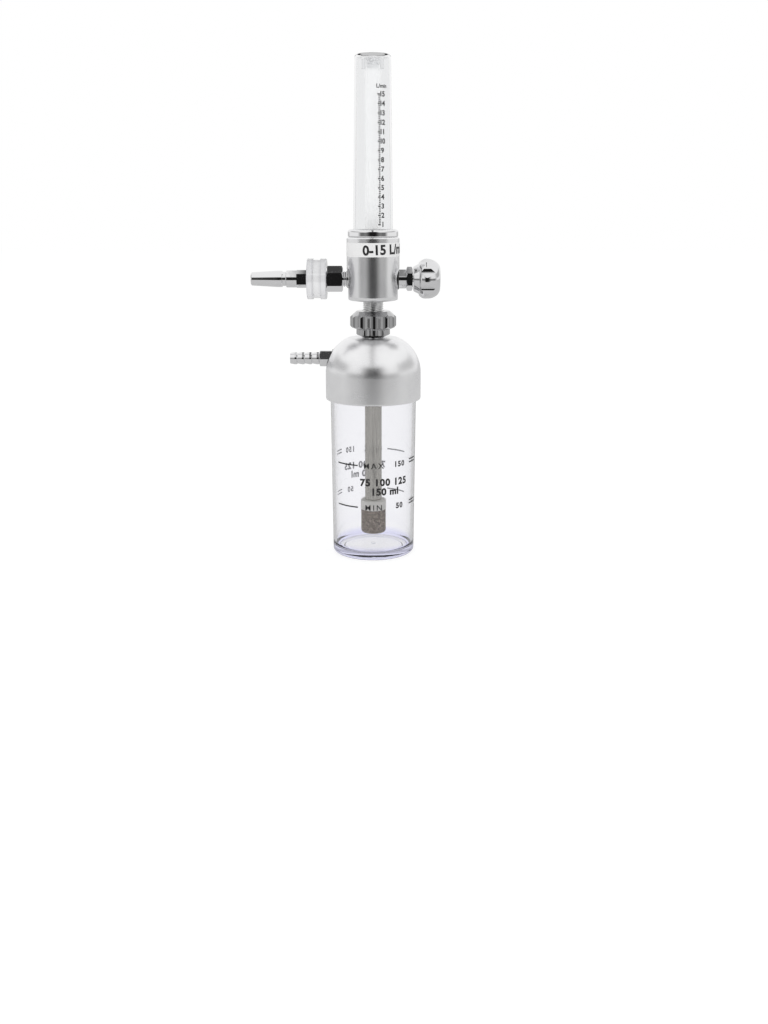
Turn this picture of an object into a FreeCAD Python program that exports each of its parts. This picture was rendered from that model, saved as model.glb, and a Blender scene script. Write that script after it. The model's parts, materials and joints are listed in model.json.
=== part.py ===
import FreeCAD, Part
import os
from math import acos, asin, cos, degrees, pi, radians, sin, sqrt

# Oxygen flowmeter with a humidifier bottle, in millimetres.
# The origin is the centre of the bottle's foot. +Z is up, the probe points along -X and the
# flow knob along +X.

V = FreeCAD.Vector
UP = V(0, 0, 1)
RIGHT = V(1, 0, 0)
LEFT = V(-1, 0, 0)

# Clearances
RUNNING_GAP = 0.08        # radial, a screw or shaft that turns in its bore
STATIC_GAP = 0.05         # radial, a piece that is pushed or screwed home and stays
LOOSE_GAP = 0.30          # radial, a hole that a piece only passes through
FACE_GAP = 0.30           # axial, between faces that move past each other
BALL_GAP = 0.03           # between the ball and what stops it
NEEDLE_GAP = 0.03         # between the closed needle and its orifice
OVERCUT = 0.01            # what a cutting or bounding shape reaches past the face that it meets

# Edges that several pieces share
HEX_CHAMFER = 1.1         # what is turned off the corners of a hex, on the radius
HEX_CHAMFER_SLOPE = 1.6   # radius lost for each millimetre of length
EDGE_CHAMFER = 0.5        # on the ends of the small turned pieces

# Bottle
BOTTLE_FOOT_RADIUS = 28.6
BOTTLE_NECK_RADIUS = 29.8
BOTTLE_HEIGHT = 121.0
BOTTLE_NECK_HEIGHT = 17.0  # the straight, screwed neck above the widening wall
BOTTLE_WALL = 2.1
BOTTLE_FLOOR = 4.7
BOTTLE_CORNER = 2.8
BOTTLE_FLOOR_FILLET = 3.4
FOOT_RECESS_RADIUS = 21.0
FOOT_RECESS_DEPTH = 0.8
GATE_RADIUS = 1.6
GATE_HEIGHT = 0.5
NECK_CHAMFER = 0.6
GASKET_THICKNESS = 1.5

# Humidifier lid
LID_RADIUS = 33.1
LID_SKIRT = 18.6          # straight side, from the rim to the shoulder of the dome
LID_OVERLAP = 11.4        # how far the skirt reaches down over the bottle's neck
DOME_RADIUS = 26.5
DOME_HEIGHT = 24.3        # from the shoulder to the flat top
DOME_WALL = 3.0
LID_CROWN = 3.0
SEAT_LEDGE = 2.6          # radial width of the ledge that the gasket meets
RIM_ROUND = 1.2
TOP_EDGE_ROUND = 1.0

# Hose barb
BARB_RISE = 9.8           # from the lid's shoulder to the axis of the barb
BARB_BORE = 2.2
BARB_LAND_RADIUS = 4.3
BARB_ROOT_RADIUS = 3.7
BARB_COUNT = 4
BARB_PITCH = 5.1
BARB_FLAT = 1.3           # length of the full-size land of each barb
BARB_SHANK_FLATS = 10.6   # the shank is a hexagon for the spanner
BARB_SHANK_LENGTH = 9.0
BARB_SHANK_TURN = 30      # degrees, so that a corner of the hexagon stands towards the viewer
BARB_THREAD_RADIUS = 4.0
BARB_WASHER_RADIUS = 6.4
BARB_WASHER_THICKNESS = 0.9
BARB_BOSS_RADIUS = 8.5    # thickening inside the dome that holds the thread
BARB_BOSS_DEPTH = 3.4     # from the washer's seat inward

# Inlet stem of the humidifier
STEM_RADIUS = 5.4
STEM_BORE = 2.6
STEM_HEAD_HEIGHT = 3.4
STEM_NOSE_RADIUS = 4.2
STEM_NOSE_HEIGHT = 2.2
STEM_WASHER_RADIUS = 8.6
STEM_WASHER_THICKNESS = 1.0
LOCKNUT_FLATS = 15.0
LOCKNUT_HEIGHT = 4.0
STEM_END_SHOWN = 0.8      # what the stem's thread stands out below its lock nut
NOSE_SEAL_SINK = 0.25     # what the seal's centre line lies inside the nose
SPIGOT_RADIUS = 4.6
SPIGOT_LENGTH = 9.0

# Hand nut
NUT_RADIUS = 15.9
NUT_FLUTES = 14
FLUTE_RADIUS = 4.6
FLUTE_DEPTH = 1.25
NUT_PHASE = 2.5           # degrees, turns the ridges as the photographed nut has them
NUT_STAND_OFF = 0.5       # between the nut and the lid's top
NUT_FOOT_RADIUS = 7.8
NUT_FOOT_CONE = 1.9
NUT_TIER_RADIUS = 11.6
NUT_TIER_HEIGHT = 3.5
NUT_RING_HEIGHT = 9.8
NUT_RING_CHAMFER = 1.2
NUT_UNDERCUT = 1.3        # rise of the ring's underside, from the tier outwards
NUT_SHOULDER_CONE = 2.9
NUT_SHOULDER_RADIUS = 11.4
NUT_MOUTH_CHAMFER = 0.8
TIER_FLUTE_RAISE = 0.6    # what the flutes of the tier are shallower than those of the ring
NUT_LEDGE = 7.2           # thickness of the bottom that the stem's head is pulled by

# Outlet nipple, 9/16 inch - 18
OUTLET_THREAD_RADIUS = 7.145
OUTLET_CHAMFER = 0.6
OUTLET_BORE = 3.0
OUTLET_SCREW_RADIUS = 6.0
OUTLET_SCREW_LENGTH = 7.0
OUTLET_SEAT_DEPTH = 3.0
OUTLET_SEAT_CLEAR = 0.3   # axial room between the stem's head and the nipple

# Dip tube and diffuser
DIP_TUBE_RADIUS = 5.9
TUBE_DEPTH = 2.4          # how far the dip tube is pushed into the cup
CUP_RADIUS = 8.95
CUP_HEIGHT = 7.0
CUP_ROUND = 1.3
STONE_RADIUS = 8.7
STONE_LENGTH = 16.9       # the part that shows below the cup
STONE_FLOOR_GAP = 8.9     # between the bottle's floor and the diffuser
STONE_CORNER = 1.6
STONE_SPIGOT_RADIUS = 3.2
STONE_SPIGOT_LENGTH = 4.0
STONE_BORE = 1.4
STONE_BORE_FLOOR = 4.8    # solid end below the bore

# Body of the flowmeter
BODY_RADIUS = 18.1
NIPPLE_SHOWN = 7.3        # from the hand nut to the body
BODY_HEIGHT = 43.1
BODY_CORNER = 2.8
BODY_TOP_CHAMFER = 0.9
BODY_FLAT_DEPTH = 1.2     # what the milled side flats take off the radius
FLAT_RISE = 10.5          # from the ports' axis to the end of the flats
FLAT_CUTTER_RADIUS = 8.0
PORT_RISE = 14.6          # from the body's foot to the axis of the probe and the valve
GAS_WAY = 1.5
UPWARD_WAY_X = -2.6
DOWNWARD_WAY_X = 2.2
RETURN_WAY_X = 9.6
RETURN_WAY = 1.2
PLENUM_DEPTH = 1.5
LABEL_DROP = 3.6          # from the body's top to the label
LABEL_HEIGHT = 9.4
LABEL_THICKNESS = 0.12
LABEL_SPAN = 250.0        # degrees of the body that the label covers
LABEL_CENTRE = -62.0      # degrees, direction that the label faces

# Cover tube and its collar
COLLAR_SETBACK = 0.9      # what the collar is smaller than the body, on the radius
COLLAR_HEIGHT = 5.2
COLLAR_ROUND = 1.8
COLLAR_FOOT_ROUND = 0.9
COLLAR_MOUTH_CHAMFER = 0.4
COLLAR_SKIRT_WALL = 1.6
COLLAR_SKIRT_LENGTH = 5.0
FOOT_FLANGE_HEIGHT = 2.6
COVER_SEAL_THICKNESS = 1.8
COVER_FOOT_RADIUS = 13.65
COVER_TOP_RADIUS = 12.1
COVER_SHOWN = 120.3       # from the body's top to the end of the cover tube
COVER_WALL = 1.5
COVER_CAP = 2.4
COVER_ROUND = 2.0
SOCKET_WALL = 1.8
SOCKET_DEPTH = 7.0
SOCKET_SLOTS = 4
SOCKET_SLOT_WIDTH = 2.6
SOCKET_TURN = 45.0        # degrees, from the first slot to the side of the probe's axis
SOCKET_ROOT = 1.2         # how far the socket's root reaches into the cap

# Metering tube and ball
METERING_RADIUS = 5.5
BALL_RADIUS = 3.175
BALL_SIDE_GAP = 0.10      # between the ball and the narrow end of the bore
METERING_TAPER = 0.9      # how much the bore widens on the radius
SEAT_SCREW_RADIUS = 5.0
SEAT_SCREW_LENGTH = 5.0
SEAT_BODY_RADIUS = 7.4
SEAT_BODY_HEIGHT = 8.5
SEAT_SOCKET_DEPTH = 3.4
SEAT_BORE = 2.2
TUBE_SEAL_THICKNESS = 1.0
TUBE_SEAL_BORE = 3.5
STOP_HEIGHT = 3.0
STOP_RIB = 1.0
STOP_RIBS = 3
STOP_HUB = 1.2

# Probe side
INLET_THREAD_RADIUS = 5.0
INLET_THREAD_LENGTH = 7.0
INLET_WASHER_THICKNESS = 1.0
INLET_WASHER_RADIUS = 6.3
NECK_LENGTH = 2.9
BEAD_RADIUS = 5.5
NECK_RADIUS = 4.9
ADAPTOR_FLATS = 15.4
ADAPTOR_HEX_LENGTH = 11.0
ADAPTOR_BORE = 3.4
ADAPTOR_THREAD_ROOM = 1.0  # between the adaptor's end and the floor of its port
NECK_BEADS = 2
NECK_ROOT = 0.5           # how far the neck's root reaches into the hex
FILTER_LENGTH = 5.0
FILTER_PROBE_GAP = 0.4    # between the probe's end and the filter
FILTER_WELL_RADIUS = 1.8
FILTER_WELL_END_RADIUS = 1.0
FILTER_WELL_DEPTH = 3.5
INDEX_RADIUS = 14.0
INDEX_LENGTH = 13.4
INDEX_FLANGE = 4.2
INDEX_WAIST = 0.8
INDEX_EDGE = 0.4
INDEX_NOTCH = 3.0
INDEX_NOTCH_RISE = 1.05   # from the collar's outside to the centre of a notch
PROBE_RADIUS = 5.9
PROBE_SHANK_RADIUS = 3.9
PROBE_THREAD_LENGTH = 4.6
PROBE_BODY_LENGTH = 14.8
PROBE_GROOVE_LENGTH = 2.6
PROBE_GROOVE_RADIUS = 4.9
PROBE_LAND_LENGTH = 3.0
PROBE_LAND_RADIUS = 5.6
PROBE_NOSE_LENGTH = 18.2
PROBE_TIP_RADIUS = 4.55
PROBE_BORE = 1.9
PROBE_GROOVE_SLOPE = 0.7
PROBE_TIP_CHAMFER = 0.6
PROBE_MOUTH_CHAMFER = 0.8
PROBE_FLAT_LENGTH = 7.2
PROBE_FLAT_RADIUS = 6.2    # the collar with the spanner flats
PROBE_FLAT_DEPTH = 1.2

# Valve side
BONNET_THREAD_RADIUS = 5.4
BONNET_THREAD_LENGTH = 5.6
BONNET_RADIUS = 6.6
BONNET_SEAL_THICKNESS = 0.8
BONNET_SEAL_RADIUS = 7.2
CHAMBER_RADIUS = 3.4
ORIFICE_RADIUS = 1.3
ORIFICE_X = 4.2
STEM_SCREW_RADIUS = 3.0
STEM_SCREW_LENGTH = 3.6
STEM_SCREW_INSET = 0.6    # from the bonnet's inner end to the start of the stem's screw
VALVE_THREAD_PITCH = 0.75
VALVE_TURNS = 2.25
NEEDLE_RADIUS = 2.3
NEEDLE_TIP_RADIUS = 0.5
NEEDLE_CONE_LENGTH = 4.2
SPINDLE_RADIUS = 2.4
PACKING_RADIUS = 4.2
PACKING_LENGTH = 2.0
GLAND_FLATS = 14.3
GLAND_HEX_LENGTH = 4.2
GLAND_SKIRT_OVERLAP = 0.5  # how far the skirt's root reaches into the hex
GLAND_SKIRT_LENGTH = 2.0
ORING_SECTION = 0.55      # radius of the cord of the small O-rings
ORING_ROOM = 0.3          # on each side of the stem's ring at the ends of its travel
KNOB_GAP = 0.6            # between the gland and the closed knob
KNOB_HUB_RADIUS = 8.7
KNOB_HUB_FLARE = 10.4
KNOB_HUB_LENGTH = 3.8
KNOB_HUB_ROOT = 4.0       # how far the hub's root reaches into the grip
KNOB_RADIUS = 13.75
KNOB_GRIP_LENGTH = 14.5
KNOB_SHOULDER_RADIUS = 11.2
KNOB_CREST_PLACE = 5.1    # from the start of the grip to its largest circle
KNOB_BARREL_RADIUS = 12.0  # of the barrel's long curve, seen from the side
KNOB_BARREL_ANGLE = 34.0  # degrees of the long curve before the tighter one takes over
KNOB_LOBES = 7
KNOB_LOBE_RADIUS = 6.1
KNOB_GROOVE_RADIUS = 0.4  # at the bottom of the grooves between the lobes
KNOB_PHASE = -93.0        # degrees, turns one lobe towards the viewer
KNOB_CREST_CUT = 0.25     # what the turned barrel takes off the crests of the lobes
KNOB_HUB_CHAMFER = 0.5
KNOB_FACE_RECESS = 0.9
KNOB_FACE_CHAMFER = 0.5
KNOB_FACE_RIM = 0.5       # flat rim round the dished face
KNOB_SCREW_RADIUS = 1.5
KNOB_SCREW_HEAD = 2.8
KNOB_SCREW_HEAD_HEIGHT = 1.6
KNOB_SCREW_LENGTH = 6.0   # below the stem's end, in its tapped hole
KNOB_SCREW_SOCKET = 2.5   # across flats
KNOB_SCREW_SOCKET_DEPTH = 1.1
TAPPED_ROOM = 0.5         # what a tapped hole is deeper than its screw
SCREW_HEAD_SINK = 0.1     # what the screw's head lies below the dished face
KNOB_WEB = 3.0            # metal between the screw's head and the stem's end

# Places that follow from the sizes above
BOTTLE_NECK_Z = BOTTLE_HEIGHT - BOTTLE_NECK_HEIGHT
STONE_BOTTOM_Z = BOTTLE_FLOOR + STONE_FLOOR_GAP
CUP_BOTTOM_Z = STONE_BOTTOM_Z + STONE_LENGTH
CUP_TOP_Z = CUP_BOTTOM_Z + CUP_HEIGHT
DIP_TUBE_END_Z = CUP_TOP_Z - TUBE_DEPTH
LID_RIM_Z = BOTTLE_HEIGHT - LID_OVERLAP
LID_SHOULDER_Z = LID_RIM_Z + LID_SKIRT
LID_TOP_Z = LID_SHOULDER_Z + DOME_HEIGHT
BARB_Z = LID_SHOULDER_Z + BARB_RISE
GASKET_TOP_Z = BOTTLE_HEIGHT + GASKET_THICKNESS
LID_BORE = BOTTLE_NECK_RADIUS + RUNNING_GAP
LID_CAVITY = LID_BORE - SEAT_LEDGE
DOME_CENTRE = LID_RADIUS - DOME_RADIUS
DOME_INNER = DOME_RADIUS - DOME_WALL
LID_CEILING_Z = LID_TOP_Z - LID_CROWN
NUT_BOTTOM_Z = LID_TOP_Z + NUT_STAND_OFF
NUT_LEDGE_Z = NUT_BOTTOM_Z + NUT_LEDGE
NUT_RING_Z = NUT_BOTTOM_Z + NUT_FOOT_CONE + NUT_TIER_HEIGHT
NUT_TOP_Z = NUT_RING_Z + NUT_RING_HEIGHT + NUT_SHOULDER_CONE
BODY_BOTTOM_Z = NUT_TOP_Z + NIPPLE_SHOWN
BODY_TOP_Z = BODY_BOTTOM_Z + BODY_HEIGHT
PORT_Z = BODY_BOTTOM_Z + PORT_RISE
FLAT_TOP_Z = PORT_Z + FLAT_RISE
BODY_FLAT_X = BODY_RADIUS - BODY_FLAT_DEPTH
LABEL_TOP_Z = BODY_TOP_Z - LABEL_DROP
LABEL_BOTTOM_Z = LABEL_TOP_Z - LABEL_HEIGHT
COLLAR_RADIUS = BODY_RADIUS - COLLAR_SETBACK
COVER_TOP_Z = BODY_TOP_Z + COVER_SHOWN
STEM_HEAD_Z = NUT_LEDGE_Z + STATIC_GAP
STEM_HEAD_TOP_Z = STEM_HEAD_Z + STEM_HEAD_HEIGHT
NIPPLE_BOTTOM_Z = STEM_HEAD_TOP_Z + OUTLET_SEAT_CLEAR
NUT_THREAD_BORE = OUTLET_THREAD_RADIUS + RUNNING_GAP
STEM_HEAD_RADIUS = OUTLET_THREAD_RADIUS - LOOSE_GAP
LOCKNUT_Z = LID_CEILING_Z - STEM_WASHER_THICKNESS - LOCKNUT_HEIGHT
COLLAR_SKIRT_Z = BODY_TOP_Z - COLLAR_SKIRT_LENGTH
FLANGE_Z = COLLAR_SKIRT_Z - FOOT_FLANGE_HEIGHT
POCKET_Z = FLANGE_Z - COVER_SEAL_THICKNESS
POCKET_RADIUS = COVER_FOOT_RADIUS + COLLAR_SKIRT_WALL + 2 * STATIC_GAP
SEAT_TOP_Z = POCKET_Z + SEAT_BODY_HEIGHT
TUBE_SEAL_Z = SEAT_TOP_Z - SEAT_SOCKET_DEPTH
METERING_BOTTOM_Z = TUBE_SEAL_Z + TUBE_SEAL_THICKNESS
CAP_INNER_Z = COVER_TOP_Z - COVER_CAP
METERING_TOP_Z = CAP_INNER_Z - TUBE_SEAL_THICKNESS
BORE_BOTTOM = BALL_RADIUS + BALL_SIDE_GAP
BORE_TOP = BORE_BOTTOM + METERING_TAPER
BALL_REST_Z = TUBE_SEAL_Z + sqrt(BALL_RADIUS ** 2 - SEAT_BORE ** 2) + BALL_GAP
INLET_FACE_X = -BODY_FLAT_X - INLET_WASHER_THICKNESS
HEX_FACE_X = INLET_FACE_X - NECK_LENGTH
ADAPTOR_END_X = HEX_FACE_X - ADAPTOR_HEX_LENGTH
INDEX_END_X = ADAPTOR_END_X - INDEX_LENGTH
BONNET_FACE_X = BODY_FLAT_X + BONNET_SEAL_THICKNESS
BONNET_INNER_X = BODY_FLAT_X - BONNET_THREAD_LENGTH
VALVE_TRAVEL = VALVE_THREAD_PITCH * VALVE_TURNS
STEM_SCREW_X = BONNET_INNER_X + STEM_SCREW_INSET
ORING_X = STEM_SCREW_X + STEM_SCREW_LENGTH + ORING_ROOM + ORING_SECTION
PACKING_X = ORING_X + ORING_SECTION + VALVE_TRAVEL + ORING_ROOM
BONNET_END_X = PACKING_X + PACKING_LENGTH + GLAND_SKIRT_LENGTH
GLAND_END_X = BONNET_END_X + GLAND_HEX_LENGTH
KNOB_X = GLAND_END_X + KNOB_GAP
KNOB_END_X = KNOB_X + KNOB_HUB_LENGTH + KNOB_GRIP_LENGTH


def turned(profile, axis_point=V(0, 0, 0), axis=UP):
    """Turns a closed outline about an axis. The outline is a list of points and edges."""
    edges = []
    start = profile[0]
    here = start
    for item in profile[1:] + [start]:
        if isinstance(item, tuple):
            middle, end = item
            edges.append(Part.Arc(here, middle, end).toShape())
            here = end
        else:
            if (item - here).Length > 1e-6:
                edges.append(Part.LineSegment(here, item).toShape())
            here = item
    face = Part.Face(Part.Wire(edges))
    solid = face.revolve(axis_point, axis, 360)
    return clean(solid)


def clean(shape):
    """Gives one tidy solid, with its faces pointing outwards."""
    if shape.ShapeType != "Solid" and len(shape.Solids) == 1:
        shape = shape.Solids[0]
    if shape.Volume < 0:
        shape.reverse()
    return shape


def rz(radius, height):
    """A point of an outline that is turned about the upright axis."""
    return V(radius, 0, height)


def xr(x, radius):
    """A point of an outline that is turned about the axis of the ports."""
    return V(x, 0, PORT_Z + radius)


def turned_up(points):
    return turned(points)


def turned_across(points, height=PORT_Z):
    return turned(points, V(0, 0, height), RIGHT)


def rod(radius, start, end):
    """A cylinder from one point to another."""
    way = end - start
    return Part.makeCylinder(radius, way.Length, start, way)


def ring(outer, inner, start, end):
    return rod(outer, start, end).cut(rod(inner, start, end))


def hexagon(flats, start, end, chamfer=HEX_CHAMFER, turn=0):
    """A hexagonal bar whose corners are turned off at both ends. Unturned, a flat faces the viewer."""
    way = end - start
    radius = flats / sqrt(3)
    side = UP if abs(way.z) < 0.5 * way.Length else RIGHT
    other = way.cross(side)
    other.normalize()
    corners = []
    for index in range(7):
        angle = radians(60 * index + turn)
        corners.append(start + side * (radius * cos(angle)) + other * (radius * sin(angle)))
    bar = Part.Face(Part.makePolygon(corners)).extrude(way)
    unit = V(way)
    unit.normalize()
    tip = radius - chamfer
    run = chamfer / HEX_CHAMFER_SLOPE
    round_corner = radius + OVERCUT
    turned_off = Part.makeCylinder(round_corner, way.Length - 2 * run, start + unit * run, way)
    for foot, direction in ((start, unit), (end, unit * -1)):
        cone = Part.makeCone(tip, round_corner, run, foot, direction)
        turned_off = turned_off.fuse(cone)
    return clean(bar.common(turned_off))


def torus(centre, axis, radius, section):
    return Part.makeTorus(radius, section, centre, axis)


def arc_middle(centre_r, centre_z, radius, angle):
    """A point of a round stretch in a turned outline, by its angle above the horizontal."""
    return rz(centre_r + radius * cos(angle), centre_z + radius * sin(angle))


def bottle():
    """Moulded bottle with a thick floor, a recessed foot and a plain neck."""
    foot_flat = BOTTLE_FOOT_RADIUS - BOTTLE_CORNER
    diagonal = BOTTLE_CORNER * (1 - sin(pi / 4))
    inner_foot = BOTTLE_FOOT_RADIUS - BOTTLE_WALL
    inner_neck = BOTTLE_NECK_RADIUS - BOTTLE_WALL
    fillet = BOTTLE_FLOOR_FILLET
    floor_flat = inner_foot - fillet
    inner_diagonal = fillet * (1 - sin(pi / 4))
    return turned_up([
        rz(0, FOOT_RECESS_DEPTH),
        rz(FOOT_RECESS_RADIUS - FOOT_RECESS_DEPTH, FOOT_RECESS_DEPTH),
        rz(FOOT_RECESS_RADIUS, 0),
        rz(foot_flat, 0),
        (rz(BOTTLE_FOOT_RADIUS - diagonal, diagonal), rz(BOTTLE_FOOT_RADIUS, BOTTLE_CORNER)),
        rz(BOTTLE_NECK_RADIUS, BOTTLE_NECK_Z),
        rz(BOTTLE_NECK_RADIUS, BOTTLE_HEIGHT - NECK_CHAMFER),
        rz(BOTTLE_NECK_RADIUS - NECK_CHAMFER, BOTTLE_HEIGHT),
        rz(inner_neck, BOTTLE_HEIGHT),
        rz(inner_neck, BOTTLE_NECK_Z),
        rz(inner_foot, BOTTLE_FLOOR + fillet),
        (rz(inner_foot - inner_diagonal, BOTTLE_FLOOR + inner_diagonal),
         rz(floor_flat, BOTTLE_FLOOR)),
        rz(GATE_RADIUS, BOTTLE_FLOOR),
        rz(GATE_RADIUS, BOTTLE_FLOOR + GATE_HEIGHT),
        rz(0, BOTTLE_FLOOR + GATE_HEIGHT),
    ])


def bottle_gasket():
    return ring(BOTTLE_NECK_RADIUS - NECK_CHAMFER, BOTTLE_NECK_RADIUS - BOTTLE_WALL,
                rz(0, BOTTLE_HEIGHT), rz(0, GASKET_TOP_Z))


def dome_reach(radius, height):
    """Radius of a dome's round stretch at a height above its shoulder."""
    return DOME_CENTRE + sqrt(radius ** 2 - height ** 2)


def barb_seat_x():
    """Where the washer of the barb lies: on a flat cut into the dome, deep enough all round."""
    return -dome_reach(DOME_RADIUS, BARB_RISE + BARB_WASHER_RADIUS + LOOSE_GAP)


def barb_boss():
    """Thickening inside the dome for the barb's thread. It ends in the middle of the dome's wall."""
    middle = DOME_RADIUS - DOME_WALL / 2
    top = LID_TOP_Z - LID_CROWN / 2
    reach = dome_reach(middle, top - LID_SHOULDER_Z)
    angle = acos((reach - DOME_CENTRE) / middle)
    limit = turned_up([
        rz(0, top),
        rz(reach, top),
        (arc_middle(DOME_CENTRE, LID_SHOULDER_Z, middle, angle / 2),
         rz(DOME_CENTRE + middle, LID_SHOULDER_Z)),
        rz(0, LID_SHOULDER_Z),
    ])
    start = V(barb_seat_x() + BARB_BOSS_DEPTH, 0, BARB_Z)
    return rod(BARB_BOSS_RADIUS, start, V(-LID_RADIUS, 0, BARB_Z)).common(limit)


def humidifier_lid():
    """Cast and turned dome with a screwed skirt, a gasket ledge, a stem hole and a barb port."""
    crown = LID_TOP_Z - LID_SHOULDER_Z
    top_flat = dome_reach(DOME_RADIUS, crown)
    top_angle = acos((top_flat - DOME_CENTRE) / DOME_RADIUS)
    rise = sqrt(DOME_INNER ** 2 - (LID_CAVITY - DOME_CENTRE) ** 2)
    ceiling = LID_CEILING_Z - LID_SHOULDER_Z
    ceiling_flat = dome_reach(DOME_INNER, ceiling)
    low_angle = acos((LID_CAVITY - DOME_CENTRE) / DOME_INNER)
    high_angle = acos((ceiling_flat - DOME_CENTRE) / DOME_INNER)
    hole = STEM_RADIUS + STATIC_GAP
    shell = turned_up([
        rz(hole, LID_TOP_Z),
        rz(top_flat, LID_TOP_Z),
        (arc_middle(DOME_CENTRE, LID_SHOULDER_Z, DOME_RADIUS, top_angle / 2),
         rz(LID_RADIUS, LID_SHOULDER_Z)),
        rz(LID_RADIUS, LID_RIM_Z),
        rz(LID_BORE, LID_RIM_Z),
        rz(LID_BORE, GASKET_TOP_Z),
        rz(LID_CAVITY, GASKET_TOP_Z),
        rz(LID_CAVITY, LID_SHOULDER_Z + rise),
        (arc_middle(DOME_CENTRE, LID_SHOULDER_Z, DOME_INNER, (low_angle + high_angle) / 2),
         rz(ceiling_flat, LID_CEILING_Z)),
        rz(hole, LID_CEILING_Z),
    ])
    rim = [e for e in shell.Edges if abs(e.BoundBox.ZMax - LID_RIM_Z) < 1e-6
           and e.BoundBox.XMax > LID_RADIUS - 1e-3]
    shell = shell.makeFillet(RIM_ROUND, rim)
    top = [e for e in shell.Edges if abs(e.BoundBox.ZMin - LID_TOP_Z) < 1e-6
           and e.BoundBox.XMax > hole + 1]
    shell = shell.makeFillet(TOP_EDGE_ROUND, top)
    seat = barb_seat_x()
    spotface = rod(BARB_WASHER_RADIUS + LOOSE_GAP, V(seat, 0, BARB_Z), V(-2 * LID_RADIUS, 0, BARB_Z))
    port = rod(BARB_THREAD_RADIUS + STATIC_GAP, V(0, 0, BARB_Z), V(-LID_RADIUS, 0, BARB_Z))
    return clean(shell.fuse(barb_boss()).cut(spotface).cut(port))


def barb_point(distance, radius):
    """A point of the barb's outline, by its distance out from the washer."""
    shoulder = barb_seat_x() - BARB_WASHER_THICKNESS
    return V(shoulder - distance, 0, BARB_Z + radius)


def hose_barb():
    """Turned hose connector: threaded root, hexagonal shank and a row of barbs."""
    inner_end = barb_seat_x() + BARB_BOSS_DEPTH
    length = BARB_SHANK_LENGTH + BARB_COUNT * BARB_PITCH
    points = [
        V(inner_end, 0, BARB_Z + BARB_BORE),
        V(inner_end, 0, BARB_Z + BARB_THREAD_RADIUS),
        barb_point(0, BARB_THREAD_RADIUS),
        barb_point(0, BARB_ROOT_RADIUS),
        barb_point(BARB_SHANK_LENGTH, BARB_ROOT_RADIUS),
    ]
    for index in range(BARB_COUNT):
        foot = BARB_SHANK_LENGTH + index * BARB_PITCH
        rise = BARB_LAND_RADIUS - BARB_ROOT_RADIUS
        if index > 0:
            points.append(barb_point(foot, BARB_ROOT_RADIUS))
        points.append(barb_point(foot + rise, BARB_LAND_RADIUS))
        points.append(barb_point(foot + rise + BARB_FLAT, BARB_LAND_RADIUS))
        points.append(barb_point(foot + BARB_PITCH, BARB_ROOT_RADIUS))
    points.append(barb_point(length, BARB_BORE))
    start, end = barb_point(0, 0), barb_point(BARB_SHANK_LENGTH, 0)
    shank = hexagon(BARB_SHANK_FLATS, start, end, turn=BARB_SHANK_TURN)
    shank = shank.cut(rod((BARB_BORE + BARB_ROOT_RADIUS) / 2, start, end))
    return clean(turned(points, V(0, 0, BARB_Z), LEFT).fuse(shank))


def barb_washer():
    seat = barb_seat_x()
    return ring(BARB_WASHER_RADIUS, BARB_THREAD_RADIUS + STATIC_GAP,
                V(seat, 0, BARB_Z), V(seat - BARB_WASHER_THICKNESS, 0, BARB_Z))


def inlet_stem():
    """Tube with a head that the hand nut pulls up, a nose for the seal and a spigot below."""
    spigot_end = LOCKNUT_Z - SPIGOT_LENGTH
    nose_top = STEM_HEAD_TOP_Z + STEM_NOSE_HEIGHT
    height, radius, section = nose_seal_section()
    body = turned_up([
        rz(STEM_BORE, spigot_end),
        rz(SPIGOT_RADIUS, spigot_end),
        rz(SPIGOT_RADIUS, LOCKNUT_Z - STEM_END_SHOWN),
        rz(STEM_RADIUS, LOCKNUT_Z - STEM_END_SHOWN),
        rz(STEM_RADIUS, STEM_HEAD_Z),
        rz(STEM_HEAD_RADIUS, STEM_HEAD_Z),
        rz(STEM_HEAD_RADIUS, STEM_HEAD_TOP_Z),
        rz(STEM_NOSE_RADIUS, STEM_HEAD_TOP_Z),
        rz(STEM_NOSE_RADIUS, nose_top - EDGE_CHAMFER),
        rz(STEM_NOSE_RADIUS - EDGE_CHAMFER, nose_top),
        rz(STEM_BORE, nose_top),
    ])
    return clean(body.cut(torus(rz(0, height), UP, radius, section)))


def nose_seal_section():
    """Height, ring radius and section of the O-ring on the stem's nose."""
    height = STEM_HEAD_TOP_Z + STEM_NOSE_HEIGHT / 2
    return height, STEM_NOSE_RADIUS - NOSE_SEAL_SINK, ORING_SECTION


def nose_seal():
    height, radius, section = nose_seal_section()
    return torus(rz(0, height), UP, radius, section)


def stem_washer():
    return ring(STEM_WASHER_RADIUS, STEM_RADIUS + STATIC_GAP,
                rz(0, LID_CEILING_Z - STEM_WASHER_THICKNESS), rz(0, LID_CEILING_Z))


def stem_locknut():
    start = rz(0, LOCKNUT_Z)
    end = rz(0, LOCKNUT_Z + LOCKNUT_HEIGHT)
    nut = hexagon(LOCKNUT_FLATS, start, end)
    return clean(nut.cut(rod(STEM_RADIUS + STATIC_GAP, start, end)))


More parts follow.
